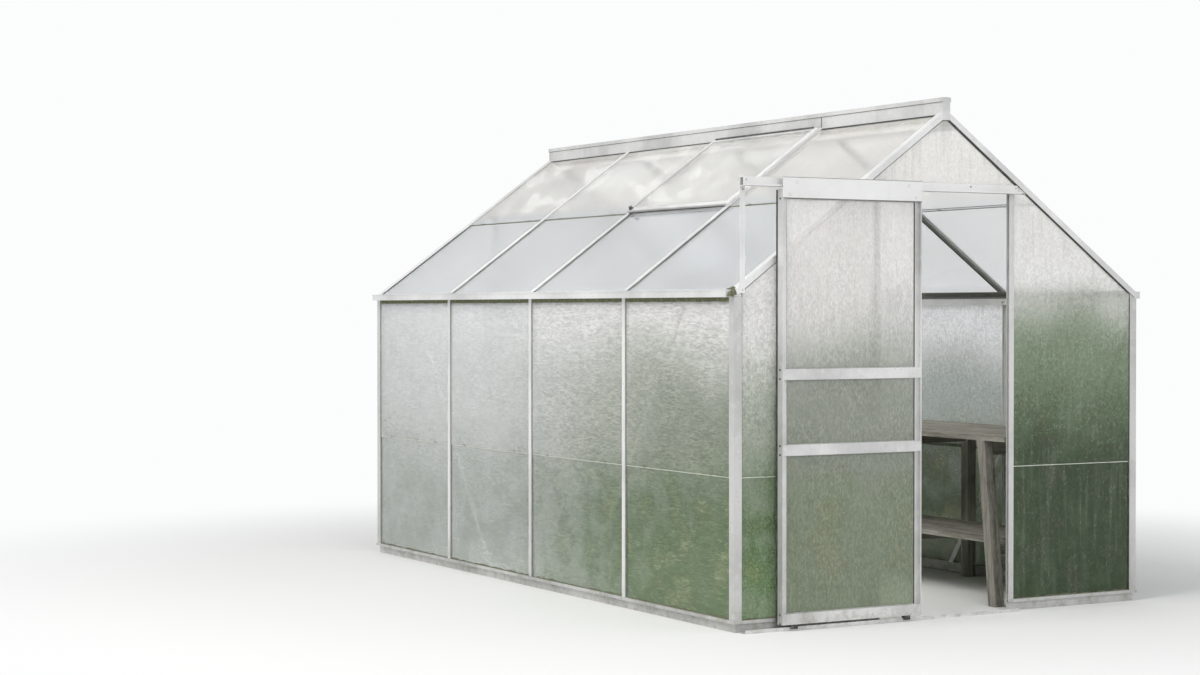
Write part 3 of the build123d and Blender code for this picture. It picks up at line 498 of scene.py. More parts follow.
def roof_glass(name, lower, upper, passing=0.90, sun_smear_share=0.75, dimples=0.0004, stipple_scale=75.0):
    """Smooth glass: bluish and even below the lap, warm above it, with pale wash marks that are partly
    painted patches of sunlight and reflection, and stipple.
    """
    look = Finish(name)
    above = look.fade("Z", ROOF_LAP - 0.02, ROOF_LAP + 0.02)
    cloud = look.noise(1.8, 2.0, 0.5)
    stipple = look.noise(stipple_scale, 2.0, 0.6)
    smear_and_sun_noise = look.noise(1.0, 3.0, 0.5, look.lean(SMEAR_AND_SUN_SIZE, SMEAR_AND_SUN_SLANT))
    colour = look.times(look.mix(above, lower, upper), look.ramp(cloud, 0.35, 0.65, 0.97, 1.03))
    dusty = look.ramp(look.add(cloud, look.product(stipple, 0.9)), 0.90, 1.12)
    dusty = look.product(look.product(dusty, above), 0.7)
    smear_and_sun = look.product(look.ramp(smear_and_sun_noise, 0.46, 0.62), above)
    smear_and_sun = look.product(smear_and_sun, look.fade("Y", -1.2, 0.2, 0.2, sun_smear_share))
    look.finish(
        Base_Color=look.layers(colour, (dusty, DUST), (smear_and_sun, SMEAR_AND_SUN)),
        Roughness=0.10,
        IOR=GLASS_IOR,
        Transmission_Weight=look.ramp(smear_and_sun, 0.0, 1.0, passing, passing - 0.14),
        Normal=look.relief(stipple, dimples, 0.7),
    )
    return clear_to_lamps(look, (0.88, 0.885, 0.88))


roof_pane = roof_glass("roof_pane", (0.77, 0.79, 0.805), (0.85, 0.83, 0.80))
right_roof_pane = roof_glass("right_roof_pane", (0.88, 0.885, 0.895), (0.93, 0.925, 0.915), 0.97)
vent_pane = roof_glass("vent_pane", VENT_TINT, VENT_TINT, 0.88, 0.9, 0.0012, 60.0)
print("eight kinds of glass")

# %% [markdown]
# ## Wood, rubber, plastic and steel
# The bench inside is bare softwood that has turned grey. Wood is a matter of direction: the same
# noise, stretched a lot along one axis, becomes grain, and each board needs it along its own length.
# The small parts need only quiet finishes, but each still gets its wear: rubber bleaches, zinc clouds
# and plastic picks up dust.

# %% Wood
ACROSS_GRAIN, ALONG_GRAIN = 42.0, 2.4


def weathered_wood(name, along):
    """Grey softwood whose grain runs along X, Y or Z."""
    scale = [ALONG_GRAIN if axis == along else ACROSS_GRAIN for axis in "XYZ"]
    look = Finish(name)
    grain = look.noise(1.0, 5.0, 0.62, look.stretch(tuple(scale)), 0.5)
    fibre = look.noise(1.0, 2.0, 0.6, look.stretch(tuple(6.0 * value for value in scale)))
    stain = look.noise(5.0, 4.0, 0.6)
    colour = look.layers(
        (0.115, 0.103, 0.083),
        (look.ramp(grain, 0.32, 0.68), (0.34, 0.325, 0.285)),
        (look.ramp(fibre, 0.45, 0.75, 0.0, 0.40), (0.50, 0.48, 0.44)),
        (look.ramp(stain, 0.48, 0.72, 0.0, 0.55), (0.085, 0.075, 0.06)),
    )
    cracks = look.ramp(grain, 0.30, 0.36)
    relief = look.relief(cracks, 0.0012, 0.8, look.relief(fibre, 0.0006, 0.7))
    return look.finish(Base_Color=colour, Roughness=look.ramp(stain, 0.3, 0.7, 0.95, 0.7), Normal=relief)


boards = weathered_wood("bench_boards", "Y")
legs = weathered_wood("bench_legs_wood", "Z")
rails = weathered_wood("bench_rails_wood", "X")
print("wood:", [m.name for m in (boards, legs, rails)])

# %% Rubber, plastic, steel and growth


def quiet_finish(name, main, second, scale, rough, depth=0.0003, metal=0.0):
    """Two colours in soft patches, with a fine relief."""
    look = Finish(name)
    patch = look.noise(scale, 4.0, 0.65)
    return look.finish(
        Base_Color=look.mix(look.ramp(patch, 0.40, 0.70), main, second),
        Roughness=look.ramp(patch, 0.3, 0.7, *rough),
        Metallic=metal,
        Normal=look.relief(look.noise(scale * 6.0, 2.0, 0.6), depth, 0.5),
    )


rubber = quiet_finish("aged_rubber", (0.030, 0.030, 0.029), (0.10, 0.10, 0.095), 30.0, (0.55, 0.85))
plastic = quiet_finish("moulded_plastic", (0.035, 0.035, 0.037), (0.16, 0.155, 0.14), 40.0, (0.32, 0.6))
steel = quiet_finish("zinc_steel", (0.55, 0.55, 0.53), (0.26, 0.19, 0.13), 110.0, (0.30, 0.6), 0.0002, 0.8)
# Pale green seal colour: partly its own, partly painted highlight on the rear sides of the bars
putty_and_highlight = quiet_finish("greened_putty_and_highlight", (0.58, 0.60, 0.52), (0.42, 0.46, 0.36), 60.0, (0.7, 0.9))
tarnish = quiet_finish(
    "tarnished_clips", (0.10, 0.095, 0.08), (0.21, 0.20, 0.18), 90.0, (0.4, 0.7), 0.0002, 0.3
)
# Grey seal colour for the front sides of the bars: painted shade
rubber_painted_shade = quiet_finish("greyed_rubber_painted_shade", (0.25, 0.255, 0.24), (0.15, 0.16, 0.14), 60.0, (0.6, 0.9))
bleached = quiet_finish("bleached_rubber", (0.44, 0.44, 0.42), (0.30, 0.30, 0.28), 60.0, (0.6, 0.9))
lime = quiet_finish("lime_dust", (0.80, 0.82, 0.74), (0.56, 0.61, 0.50), 80.0, (0.8, 0.95))
# Dark olive: green growth, dark enough to serve as painted shadow too where it lies under the gutter
algae_and_shade = quiet_finish("algae_and_shade_film", (0.10, 0.12, 0.055), (0.20, 0.21, 0.12), 55.0, (0.75, 0.95))
moss = quiet_finish("moss_and_dirt", (0.115, 0.11, 0.075), (0.17, 0.20, 0.11), 160.0, (0.9, 1.0), 0.002)
print("ten quiet finishes, from", rubber.name, "to", moss.name)

# %% [markdown]
# ## Measures from the frame
# The small pieces have to sit exactly on the bars and panes. So their places aren't typed in: they
# are read from the boxes of the construction nodes. Only the glazing bar's own section can't be read
# from a box, and those few sizes are named here.

# %% Read the house's measures
PITCH = math.radians(35.8)                      # slope of the roof
BAYS = 4
VENT_BAY = 1
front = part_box("front_gable_glass")[1].y        # seat of the front gable's glass
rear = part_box("rear_gable_glass")[0].y
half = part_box("right_wall_glass")[0].x          # seat of the side walls' glass
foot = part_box("right_wall_glass")[0].z          # top of the sills
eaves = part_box("corner_posts")[1].z             # underside of the gutters
bay = (rear - front) / BAYS
bar_places = [front + number * bay for number in range(1, BAYS)]
CAP_HALF = 0.012        # half the width of a bar's cap
POST_CAP = 0.024        # cap of a corner post, from the corner
RAFTER_FACE = 0.0125    # face of a rafter, below the roof's seat
CAP_OUT = 0.0098        # face of a cap, out from the seat of the glass
LOWER_OUT = 0.003       # outer face of a lower pane
UPPER_OUT = 0.0063      # outer face of an upper pane, and the underside of a cap
STEM_IN = 0.014         # inner face of a bar's bolt channel
EAVES_STEP = 0.0032     # from the gutter's underside up to the foot of the roof bars
RIDGE_HALF = 0.018
HALF_LAP = 0.006
lap_low = LAP_HEIGHT - HALF_LAP
roof_foot = eaves + EAVES_STEP + STEM_IN / math.cos(PITCH)
roof_lap_middle = (half - RIDGE_HALF) / math.cos(PITCH) * 0.52      # up the slope from its foot
UP = Vector((0.0, 0.0, 1.0))
REAR = Vector((0.0, 1.0, 0.0))
RIGHT = Vector((1.0, 0.0, 0.0))


def roof_seat(x):
    """Height of the roof glass's seat at x."""
    return roof_foot + (half - abs(x)) * math.tan(PITCH)


def up_slope(side):
    """Direction up the roof on one side, -1 for the left and 1 for the right."""
    return Vector((-side * math.cos(PITCH), 0.0, math.sin(PITCH)))


def off_roof(side):
    """Direction straight out of the roof on that side."""
    return Vector((side * math.sin(PITCH), 0.0, math.cos(PITCH)))


print("bays of", round(bay, 3), "m, ridge seat at", round(roof_seat(0.0), 3), "m")

# %% [markdown]
# ## Dressing the construction nodes
# Every node already carries a plain material from the imported model, in a material slot. We leave the
# shapes alone and put the new finish into the same slot. A short table says which finish goes where,
# and everything that isn't in it is plain aluminium.
# Bars and gutter on the right are seen from inside the house, through the glass, and their inner sides are
# made near black as painted shade. The braces behind the left wall are pale, and darker where they reach up
# near the front.

# %% Give every node its finish
BAR_MARGIN = 0.004      # the painted shade on the bars starts this far outside their seat
GUTTER_DROP = 0.014     # and in the gutter this far below its rim
glass_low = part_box("right_roof_glass")[0].z
inner_shade_from = -(half * math.sin(PITCH) + glass_low * math.cos(PITCH)) - BAR_MARGIN
right_bars = weathered_aluminium("right_roof_bars", inside=(-off_roof(1), inner_shade_from))
gutter_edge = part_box("right_gutter")[1].z - GUTTER_DROP - half
right_gutter_metal = weathered_aluminium("right_gutter_metal", inside=((-1.0, 0.0, 1.0), gutter_edge))


def brace_finish():
    """Flat bars inside the glass, darker above a metre in the near bays."""
    look = Finish("brace_bars")
    fine = look.noise(90.0, 2.0, 0.6)
    darker_high_near = look.product(look.fade("Z", 0.80, 1.10), look.fade("Y", 0.1, -0.6))
    patches = look.ramp(fine, 0.4, 0.7)
    colour = look.layers((0.96, 0.96, 0.95), (patches, (0.88, 0.88, 0.87)), (darker_high_near, (0.24, 0.24, 0.23)))
    relief = look.relief(fine, 0.0002, 0.5)
    return look.finish(Base_Color=colour, Roughness=0.55, Metallic=0.0, Normal=relief)


finish_of = {
    "wall_braces": brace_finish(),
    "right_roof_bars": right_bars,
    "right_gutter": right_gutter_metal,
    "left_wall_glass": wall_pane,
    "right_wall_glass": shaded_pane,
    "rear_gable_glass": rear_pane,
    "front_gable_glass": gable_pane,
    "door_glass": door_pane,
    "left_roof_glass": roof_pane,
    "right_roof_glass": right_roof_pane,
    "vent_glass": vent_pane,
    "bench_top": boards,
    "bench_shelf": boards,
    "bench_legs": legs,
    "bench_rails": rails,
    "door_rollers": plastic,
    "door_shoes": plastic,
    "roller_axles": steel,
    "corner_posts": dull_posts,
    "front_sills": dull_posts,
    "side_sills": dull_posts,
    "door_posts": door_post_metal,
    "door_hanger": bright_plate,
    "door_track": bright_plate,
    "front_header": darker_frame,
    "door_stiles": darker_frame,
    "door_rails": darker_frame,
    "ridge": darker_frame,
}
for name, node in nodes.items():
    finish = finish_of.get(name, aluminium)
    if not node.material_slots:
        node.data.materials.append(finish)
    for slot in node.material_slots:
        slot.material = finish
print(len(finish_of), "nodes with a finish of their own,", len(nodes) - len(finish_of), "in aluminium")

# %% [markdown]
# ## A tool for small pieces
# A house like this has hundreds of strips, clips and bolts. As separate objects they would be a
# burden, so each kind becomes one joined mesh. The class below collects shapes in one mesh: a run is
# a profile pushed from one point to another, and a turned shape is a profile spun round an axis.
# Both are what a workshop does too, with a die and with a lathe.

# %% The class for joined meshes


class Shape:
    """A joined mesh that grows run by run and is closed with a material and a body."""

    def __init__(self, name):
        self.name = name
        self.mesh = bmesh.new()

    def skin(self, rings):
        """Joins rings of points with four-sided faces, and closes both ends with a flat face."""
        for here, there in zip(rings, rings[1:]):
            for index in range(len(here)):
                after = (index + 1) % len(here)
                self.mesh.faces.new((here[index], here[after], there[after], there[index]))
        self.mesh.faces.new(rings[0])
        self.mesh.faces.new(list(reversed(rings[-1])))

    def run(self, start, end, across, out, profile):
        """Pushes a closed profile of (across, out) points from start to end."""
        point = self.mesh.verts.new
        self.skin([[point(place + across * x + out * y) for x, y in profile] for place in (start, end)])

    def strip(self, start, end, across, out, width, height, rise=0.0):
        """Flat strip with chamfered outer edges, lifted off its seat by rise."""
        cut = 0.3 * min(width, height)
        shoulder = height - cut
        top = ((width - cut, height), (cut, height))
        profile = ((0, 0), (width, 0), (width, shoulder), *top, (0, shoulder))
        self.run(start, end, across, out, [(x, y + rise) for x, y in profile])

    def turned(self, place, axis, profile, sides=10):
        """Spins (radius, height) points round an axis."""
        axis = axis.normalized()
        first = axis.orthogonal().normalized()
        second = axis.cross(first)
        rings = []
        for radius, height in profile:
            ring = []
            for step in range(sides):
                angle = 2.0 * math.pi * step / sides
                spoke = first * math.cos(angle) + second * math.sin(angle)
                ring.append(self.mesh.verts.new(place + axis * height + spoke * radius))
            rings.append(ring)
        self.skin(rings)

    def close(self, material, body="house", slot="roller_plastic"):
        bmesh.ops.recalc_face_normals(self.mesh, faces=self.mesh.faces)
        data = bpy.data.meshes.new(self.name)
        self.mesh.to_mesh(data)
        self.mesh.free()
        data.materials.append(material)
        piece = bpy.data.objects.new(self.name, data)
        scene.collection.objects.link(piece)
        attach(piece, body)
        print(self.name, "has", len(data.polygons), "faces")


HEX_NUT = (
    (0.0054, 0.0), (0.0054, 0.0046), (0.0046, 0.0052), (0.0026, 0.0052), (0.0026, 0.0074), (0.0019, 0.0078)
)
PAN_HEAD = ((0.0040, 0.0), (0.0040, 0.0009), (0.0034, 0.0019), (0.0022, 0.0025), (0.0009, 0.0027))
print("profiles for a nut and a screw")

# %% [markdown]
# ## Seals along the bars
# Between the caps and the panes runs a strip that keeps the water out. On the side walls it is pale green on
# the rear side of each bar, partly its own colour and partly painted highlight, and grey on the front side
# as painted shade, and it shows as a thin line. It could be a texture on the glass, but a real strip catches
# light and casts a fine shadow from every side, so it is a small run.

# %% Seals of the side walls
SEAL_WIDTH = 0.0034
LOWER_SEAL = 0.0050     # height of a seal on a lower pane, up to the cap
UPPER_SEAL = 0.0024
lit_side_seals = Shape("wall_seals_painted_highlight")
shade_side_seals = Shape("wall_seals_painted_shade")
for side in (-1, 1):
    out = RIGHT * side
    edges = [(front + POST_CAP, 1), (rear - POST_CAP, -1)]
    for place in bar_places:
        edges += [(place + CAP_HALF, 1), (place - CAP_HALF, -1)]
    for y, away in edges:
        at = RIGHT * (side * half) + REAR * y
        # Rear sides pale as painted highlight, front sides grey as painted shade
        seals = lit_side_seals if away > 0 else shade_side_seals
        seals.strip(at + UP * foot, at + UP * lap_low, REAR * away, out, SEAL_WIDTH, LOWER_SEAL, LOWER_OUT)
        seals.strip(at + UP * lap_low, at + UP * eaves, REAR * away, out, SEAL_WIDTH, UPPER_SEAL, UPPER_OUT)
lit_side_seals.close(putty_and_highlight)
shade_side_seals.close(rubber_painted_shade)

# %% [markdown]
# ## Seals of the gables
# On the gables the strips are newer and black. At the front the strip along the right rafter is wide, partly
# seal and partly painted shadow of the roof's edge, and the one along the left rafter is narrow. A loop
# works out the corners of the panes on each side of the middle and lays a strip along each edge, growing
# inward from it.

# %% Seals of the gables
SEAT_HALF = 0.015       # from the outer edge of a door post's seat to the post's middle
NARROW_SEAL = 0.0032
THIN_SEAL = 0.0022
RAFTER_SEAL = 0.0022    # heights of the seals on an upper pane
POST_SEAL = 0.0020
header_low, header_high = (corner.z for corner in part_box("front_header"))
header_middle = 0.5 * (header_low + header_high)
cap_low = header_middle - CAP_HALF
cap_high = header_middle + CAP_HALF
posts_low, posts_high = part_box("door_posts")
post_x = 0.5 * (posts_high.x - posts_low.x) - SEAT_HALF
rafter_drop = RAFTER_FACE / math.cos(PITCH)


def rafter_edge(x):
    """Height of the inner edge of a rafter's face at x."""
    return roof_seat(x) - rafter_drop


def rafter_reach(z):
    """Distance from the middle at which that edge has height z."""
    return (roof_seat(0.0) - rafter_drop - z) / math.tan(PITCH)


def edge_strip(shape, plane, corner_a, corner_b, inward, width, height, rise):
    """Strip from one (x, z) corner of a pane to the next, in a plane given as (y, outward direction)."""
    y, out = plane
    start = Vector((corner_a[0], y, corner_a[1]))
    end = Vector((corner_b[0], y, corner_b[1]))
    shape.strip(start, end, inward, out, width, height, rise)


front_plane, rear_plane = (front, -REAR), (rear, REAR)
# At the front the right strip's extra width is painted shadow of the roof's edge
for label, plane, right_seal_and_shadow in (("front", front_plane, 0.0070), ("rear", rear_plane, 0.0035)):
    seals = Shape(label + "_gable_seals")
    for side, width in ((-1, NARROW_SEAL), (1, right_seal_and_shadow)):
        outer = side * (half - POST_CAP)
        inner = side * (post_x + CAP_HALF)
        high = (side * rafter_reach(cap_low), cap_low)
        low = (outer, rafter_edge(outer))
        edge_strip(seals, plane, high, low, -off_roof(side), width, RAFTER_SEAL, UPPER_OUT)
        peak = (side * RIDGE_HALF, rafter_edge(RIDGE_HALF))
        base = (side * rafter_reach(cap_high), cap_high)
        edge_strip(seals, plane, peak, base, -off_roof(side), width, LOWER_SEAL, LOWER_OUT)
        for low_z, high_z, height, rise in (
            (foot, lap_low, LOWER_SEAL, LOWER_OUT),
            (lap_low, cap_low, POST_SEAL, UPPER_OUT),
        ):
            top = min(high_z, rafter_edge(outer))
            edge_strip(seals, plane, (outer, low_z), (outer, top), RIGHT * -side, THIN_SEAL, height, rise)
            edge_strip(seals, plane, (inner, low_z), (inner, high_z), RIGHT * side, THIN_SEAL, height, rise)
        edge_strip(seals, plane, (inner, cap_low), high, -UP, THIN_SEAL, POST_SEAL, UPPER_OUT)
    reach = rafter_reach(cap_high)
    edge_strip(seals, plane, (-reach, cap_high), (reach, cap_high), UP, THIN_SEAL, LOWER_SEAL, LOWER_OUT)
    seals.close(rubber)

# %% [markdown]
# ## Laps and clips
# Where two panes meet, the upper one laps over the lower one and hangs in small metal clips. Dust and
# lime settle in the wet gap and draw a pale line across every bay. The line is a low fillet of lime
# under the upper pane's edge. The clips are bent strips, two to a pane.

# %% Laps and clips
PANE_EDGE = 0.003       # bar's middle to the pane's edge
CLIP_WIDTH = 0.012
CLIP_SHEET = 0.0007
CLIP_LIP = 0.007
CLIP_PLACES = (-0.32, 0.32)     # shares of the pane's width, from its middle
LIME_FILLET = ((0.0, 0.0), (0.0, 0.0026), (-0.0012, 0.0020), (-0.0034, 0.0))
# A foot under the upper pane's edge, and a lip over its outer face
CLIP = (
    (-CLIP_SHEET, LOWER_OUT),
    (-CLIP_SHEET, UPPER_OUT + CLIP_SHEET),
    (CLIP_LIP, UPPER_OUT + CLIP_SHEET),
    (CLIP_LIP, UPPER_OUT),
    (0.0, UPPER_OUT),
    (0.0, LOWER_OUT),
)
laps = Shape("lime_in_laps")
roof_laps = Shape("dirt_in_roof_laps")
clips = Shape("lap_clips")


def lap(shape, middle, along, out, uphill, width):
    """Lime fillet and clips along the lower edge of an upper pane, about the middle of that edge."""
    reach = along * (0.5 * width)
    shape.run(middle - reach, middle + reach, uphill, out, [(x, y + LOWER_OUT) for x, y in LIME_FILLET])
    for place in CLIP_PLACES:
        at = middle + along * (place * width - CLIP_WIDTH / 2)
        clips.run(at, at + along * CLIP_WIDTH, uphill, out, CLIP)


seen_width = bay - 2 * PANE_EDGE - 2 * CAP_HALF
for side in (-1, 1):
    wall_place = RIGHT * (side * half) + UP * lap_low
    roof_place = RIGHT * (side * half) + UP * roof_foot + up_slope(side) * (roof_lap_middle - HALF_LAP)
    for number in range(BAYS):
        middle_y = REAR * (front + (number + 0.5) * bay)
        lap(laps, middle_y + wall_place, REAR, RIGHT * side, UP, seen_width)
        if side > 0 or number != VENT_BAY:
            lap(roof_laps, middle_y + roof_place, REAR, off_roof(side), up_slope(side), seen_width)
inner, outer = post_x + CAP_HALF, half - POST_CAP
for y, out in (front_plane, rear_plane):
    for side in (-1, 1):
        lap(laps, Vector((side * 0.5 * (inner + outer), y, lap_low)), RIGHT, out, UP, outer - inner)
lap(laps, Vector((0.0, rear, lap_low)), RIGHT, REAR, UP, 2 * (post_x - CAP_HALF))
laps.close(lime)
roof_laps.close(algae_and_shade)
clips.close(tarnish, slot="axle_steel")

# %% [markdown]
# ## The door's rubber and screws
# Each pane of the door lies in a rubber gasket, grey at most edges. At the right edge it is black, as
# painted shade in the deep recess there, and draws a dark line. A soft strip against draughts is fixed
# behind each stile, so that the door doesn't rattle against the posts; its black also paints the shadow in
# the gap beside the door. Screws go through the side of each stile into the ends of the rails. All of it
# rides on the door.

# %% Door gaskets and draught strips
door_low, door_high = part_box("door_stiles")
rails_low, rails_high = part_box("door_rails")
pane_low, pane_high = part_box("door_glass")
STILE_WIDTH = 0.024
RAIL_HALF = 0.020
TOP_RAIL = 0.035
RAIL_HEIGHTS = (0.666, 0.945)
GASKET_WIDTH, GASKET_HEIGHT = 0.0026, 0.0030
STRIP_THICK, STRIP_DEEP = 0.0055, 0.014
STRIP_IN, STRIP_SHORT = 0.0005, 0.004       # from the stile's edge, and from its ends
shade_side_gaskets = Shape("door_gaskets_painted_shade")
faded_gaskets = Shape("faded_door_gaskets")
windows = (
    (rails_low.z + 2 * RAIL_HALF, RAIL_HEIGHTS[0] - RAIL_HALF),
    (RAIL_HEIGHTS[0] + RAIL_HALF, RAIL_HEIGHTS[1] - RAIL_HALF),
    (RAIL_HEIGHTS[1] + RAIL_HALF, rails_high.z - TOP_RAIL),
)
left_x = door_low.x + STILE_WIDTH
right_x = door_high.x - STILE_WIDTH
for plane in ((pane_low.y, -REAR), (pane_high.y, REAR)):
    for low_z, high_z in windows:
        for start, end, inward in (
            ((left_x, low_z), (left_x, high_z), RIGHT),
            ((right_x, low_z), (right_x, high_z), -RIGHT),
            ((left_x, low_z), (right_x, low_z), UP),
            ((left_x, high_z), (right_x, high_z), -UP),
        ):
            # Right edges black as painted shade of the recess, the others grey
            shape = shade_side_gaskets if inward.x < 0.0 else faded_gaskets
            edge_strip(shape, plane, start, end, inward, GASKET_WIDTH, GASKET_HEIGHT, 0.0)
shade_side_gaskets.close(rubber, "door")
faded_gaskets.close(bleached, "door")

# Black strips behind the stiles, against draughts; their black also paints the shadow in the gap beside the
# door
draught_and_gap_shadow = Shape("door_draught_strips_and_gap_shadow")
behind = (door_high.y, REAR)
for x, across in ((door_low.x + STRIP_IN, RIGHT), (door_high.x - STRIP_IN, -RIGHT)):
    ends = ((x, door_low.z + STRIP_SHORT), (x, door_high.z - STRIP_SHORT))
    edge_strip(draught_and_gap_shadow, behind, *ends, across, STRIP_THICK, STRIP_DEEP, 0.0)
draught_and_gap_shadow.close(rubber, "door")

# %% Door screws and hanger
hanger_low, hanger_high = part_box("door_hanger")
axles_low, axles_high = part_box("roller_axles")
SCREW_OFFSET = 0.0165
SCREW_CLEAR = 0.006     # a screw this near the top of the stile is left out
AXLE_HEAD = 0.0065      # radius
PLATE_SCREW_IN, PLATE_SCREW_UP = 0.030, 0.012
screws = Shape("door_screws")
stile_middle_y = 0.5 * (door_low.y + door_high.y)
for x, out in ((door_low.x, -RIGHT), (door_high.x, RIGHT)):
    for z in (*RAIL_HEIGHTS, rails_low.z + RAIL_HALF, rails_high.z - RAIL_HALF):
        for shift in (-SCREW_OFFSET, SCREW_OFFSET):
            if z + shift < door_high.z - SCREW_CLEAR:
                screws.turned(Vector((x, stile_middle_y, z + shift)), out, PAN_HEAD)
screws.close(rubber, "door", "axle_steel")

# The plate is the foremost face of all, so its screws are sunk and only their rims stand proud
SUNK_HEAD = ((0.0052, -0.0012), (0.0052, 0.0), (0.0047, 0.0002), (0.0043, -0.0002), (0.0012, -0.0003))
axle_z = 0.5 * (axles_low.z + axles_high.z)
foot_z = hanger_low.z + PLATE_SCREW_UP
plate_screws = Shape("hanger_screws")
for x, z in (
    (axles_low.x + AXLE_HEAD, axle_z),
    (axles_high.x - AXLE_HEAD, axle_z),
    (hanger_low.x + PLATE_SCREW_IN, foot_z),
    (hanger_high.x - PLATE_SCREW_IN, foot_z),
):
    plate_screws.turned(Vector((x, hanger_low.y, z)), -REAR, SUNK_HEAD, 12)
plate_screws.close(plastic, "door", "axle_steel")

# Thin black strips along the plate's upper and lower edges: painted shadow of its folded edges
plate_edge_shadows = Shape("hanger_edge_shadow_lines")
for z, inward in ((hanger_low.z, -UP), (hanger_high.z, UP)):
    ends = ((hanger_low.x, z), (hanger_high.x, z))
    edge_strip(plate_edge_shadows, (hanger_high.y, -REAR), *ends, inward, 0.0016, 0.0024, 0.0)
plate_edge_shadows.close(rubber, "door")

# %% [markdown]
# ## Ridge, vent and gutters
# The ridge is joined from two lengths over the first bar, with a dark seam, and its lower edges are sealed
# to the glass. In the first bay the seal is wider, and a thin dark line runs under the top ledge; both are
# partly painted shadow. The roof vent hangs on a round hinge rod at the ridge, closes on a rubber strip that
# also paints the shadow under its lower rail, and has a turn knob. The gutters collect leaves, and the glass
# under them is olive green, partly green growth and partly painted shadow of the gutter.

# %% Seals, seam and shadow lines of the ridge
SEAL_AND_SHADOW_WIDTH, BAY_SEAL = 0.0075, 0.0045    # in the first bay, wider as painted shadow, and in the others
SEAM_WIDTH, SEAM_HEIGHT = 0.0045, 0.0008
SKIRT = 0.0005          # the seal starts this far outside the ridge
ridge_low, ridge_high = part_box("ridge")
ridge_seals_and_shadows = Shape("ridge_seals_and_shadows")
seat_top = roof_seat(RIDGE_HALF)
for side in (-1, 1):
    edge = RIGHT * (side * (RIDGE_HALF + SKIRT)) + UP * (seat_top - SKIRT * math.tan(PITCH))
    for number in range(BAYS):
        if side < 0 and number == VENT_BAY:
            continue
        start = edge + REAR * (front + number * bay + CAP_HALF)
        end = edge + REAR * (front + (number + 1) * bay - CAP_HALF)
        width = SEAL_AND_SHADOW_WIDTH if number == 0 else BAY_SEAL
        ridge_seals_and_shadows.strip(start, end, -up_slope(side), off_roof(side), width, 0.0026, UPPER_OUT)
    seam = Vector((side * RIDGE_HALF, bar_places[0], 0.0))
    seam_top = UP * (ridge_high.z - 0.020)
    seam_foot = UP * (seat_top + CAP_OUT / math.cos(PITCH) + 0.001)
    ridge_seals_and_shadows.strip(seam + seam_foot, seam + seam_top, REAR, RIGHT * side, SEAM_WIDTH, SEAM_HEIGHT)
    # A thin dark line under the top ledge on each side: partly dirt, partly painted shadow of the ledge
    under = Vector((side * RIDGE_HALF, 0.0, ridge_high.z - 0.019))
    start, end = under + REAR * ridge_low.y, under + REAR * ridge_high.y
    ridge_seals_and_shadows.strip(start, end, UP, RIGHT * side, 0.0010, 0.0030)
ridge_seals_and_shadows.close(rubber)

# %% Hinge rod, knob and rubber of the vent, with painted shadow
vent_low, vent_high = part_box("vent_frame")
VENT_FRAME_HEIGHT = 0.014
VENT_BASE = CAP_OUT + 0.0003    # underside of the vent's frame, off the seat
ROD_INSET = 0.024
KNOB_INSET = 0.030
RUBBER_INSET = 0.018
rod_length = vent_high.y - vent_low.y - 2 * ROD_INSET
ROD = ((0.0030, 0.0), (0.0040, 0.001), (0.0040, rod_length - 0.001), (0.0030, rod_length))
KNOB = ((0.0100, 0.0), (0.0105, 0.003), (0.0080, 0.008), (0.0085, 0.011), (0.0060, 0.014))
vent_foot = roof_lap_middle - 0.010     # lower edge of the vent, up the slope from the slope's foot
vent_length = (vent_high.x - vent_low.x) / math.cos(PITCH) - VENT_FRAME_HEIGHT * math.tan(PITCH)


def on_vent(y, run, rise):
    """Point at y, run up the left slope from the vent's lower edge, and rise above its base."""
    start = Vector((-half, y, roof_foot))
    return start + up_slope(-1) * (vent_foot + run) + off_roof(-1) * (VENT_BASE + rise)


vent_parts = Shape("vent_hinge_and_knob")
vent_parts.turned(on_vent(vent_low.y + ROD_INSET, vent_length - 0.001, 0.0165), REAR, ROD, 8)
vent_parts.turned(on_vent(vent_high.y - KNOB_INSET, 0.010, VENT_FRAME_HEIGHT), off_roof(-1), KNOB, 12)
vent_parts.close(plastic, slot="axle_steel")
# A black strip under the vent's lower rail: a rubber seal that also paints the rail's shadow
vent_rubber_and_shadow = Shape("vent_rubber_and_shadow")
start, end = (on_vent(y, -0.0045, -0.0003) for y in (vent_low.y + RUBBER_INSET, vent_high.y - RUBBER_INSET))
vent_rubber_and_shadow.strip(start, end, up_slope(-1), off_roof(-1), 0.0040, 0.0034)
vent_rubber_and_shadow.close(rubber)

# %% [markdown]
# ## Growth, dirt and painted shadow with ragged edges
# A dirty edge looks painted when it is straight. So the film under the gutter, which is green growth and
# painted shadow of the gutter, and the earth along the sill are thin strips whose free edge is moved up and
# down by a noise field, point by point.

# %% Films under the gutter and on the sill
FILM_STEP = 0.006
OFF_GLASS = 0.0001
OFF_GUTTER = 0.0004
OFF_SILL = 0.0003
END_CLEAR = 0.003       # from the caps of the front posts to the ends of the soil
FILM_EDGE = (0.0155, 26.0, 0.002)   # mean height, scale of the noise, and spread
SOIL_EDGE = (0.004, 30.0, 0.006)
FILM_THICK, SOIL_THICK = 0.0007, 0.0022


def film(shape, start, end, out, height_at, thickness, upward):
    """Thin strip along a line, whose free edge follows height_at, a function of the point."""
    steps = max(2, int((end - start).length / FILM_STEP))
    rows = []
    for step in range(steps + 1):
        base = start.lerp(end, step / steps)
        tip = base + upward * height_at(base)
        near = [shape.mesh.verts.new(base + out * (thickness * lift)) for lift in (0.0, 1.0)]
        far = [shape.mesh.verts.new(tip), shape.mesh.verts.new(tip + out * (thickness * 0.4))]
        rows.append((near[0], near[1], far[1], far[0]))
    shape.skin(rows)


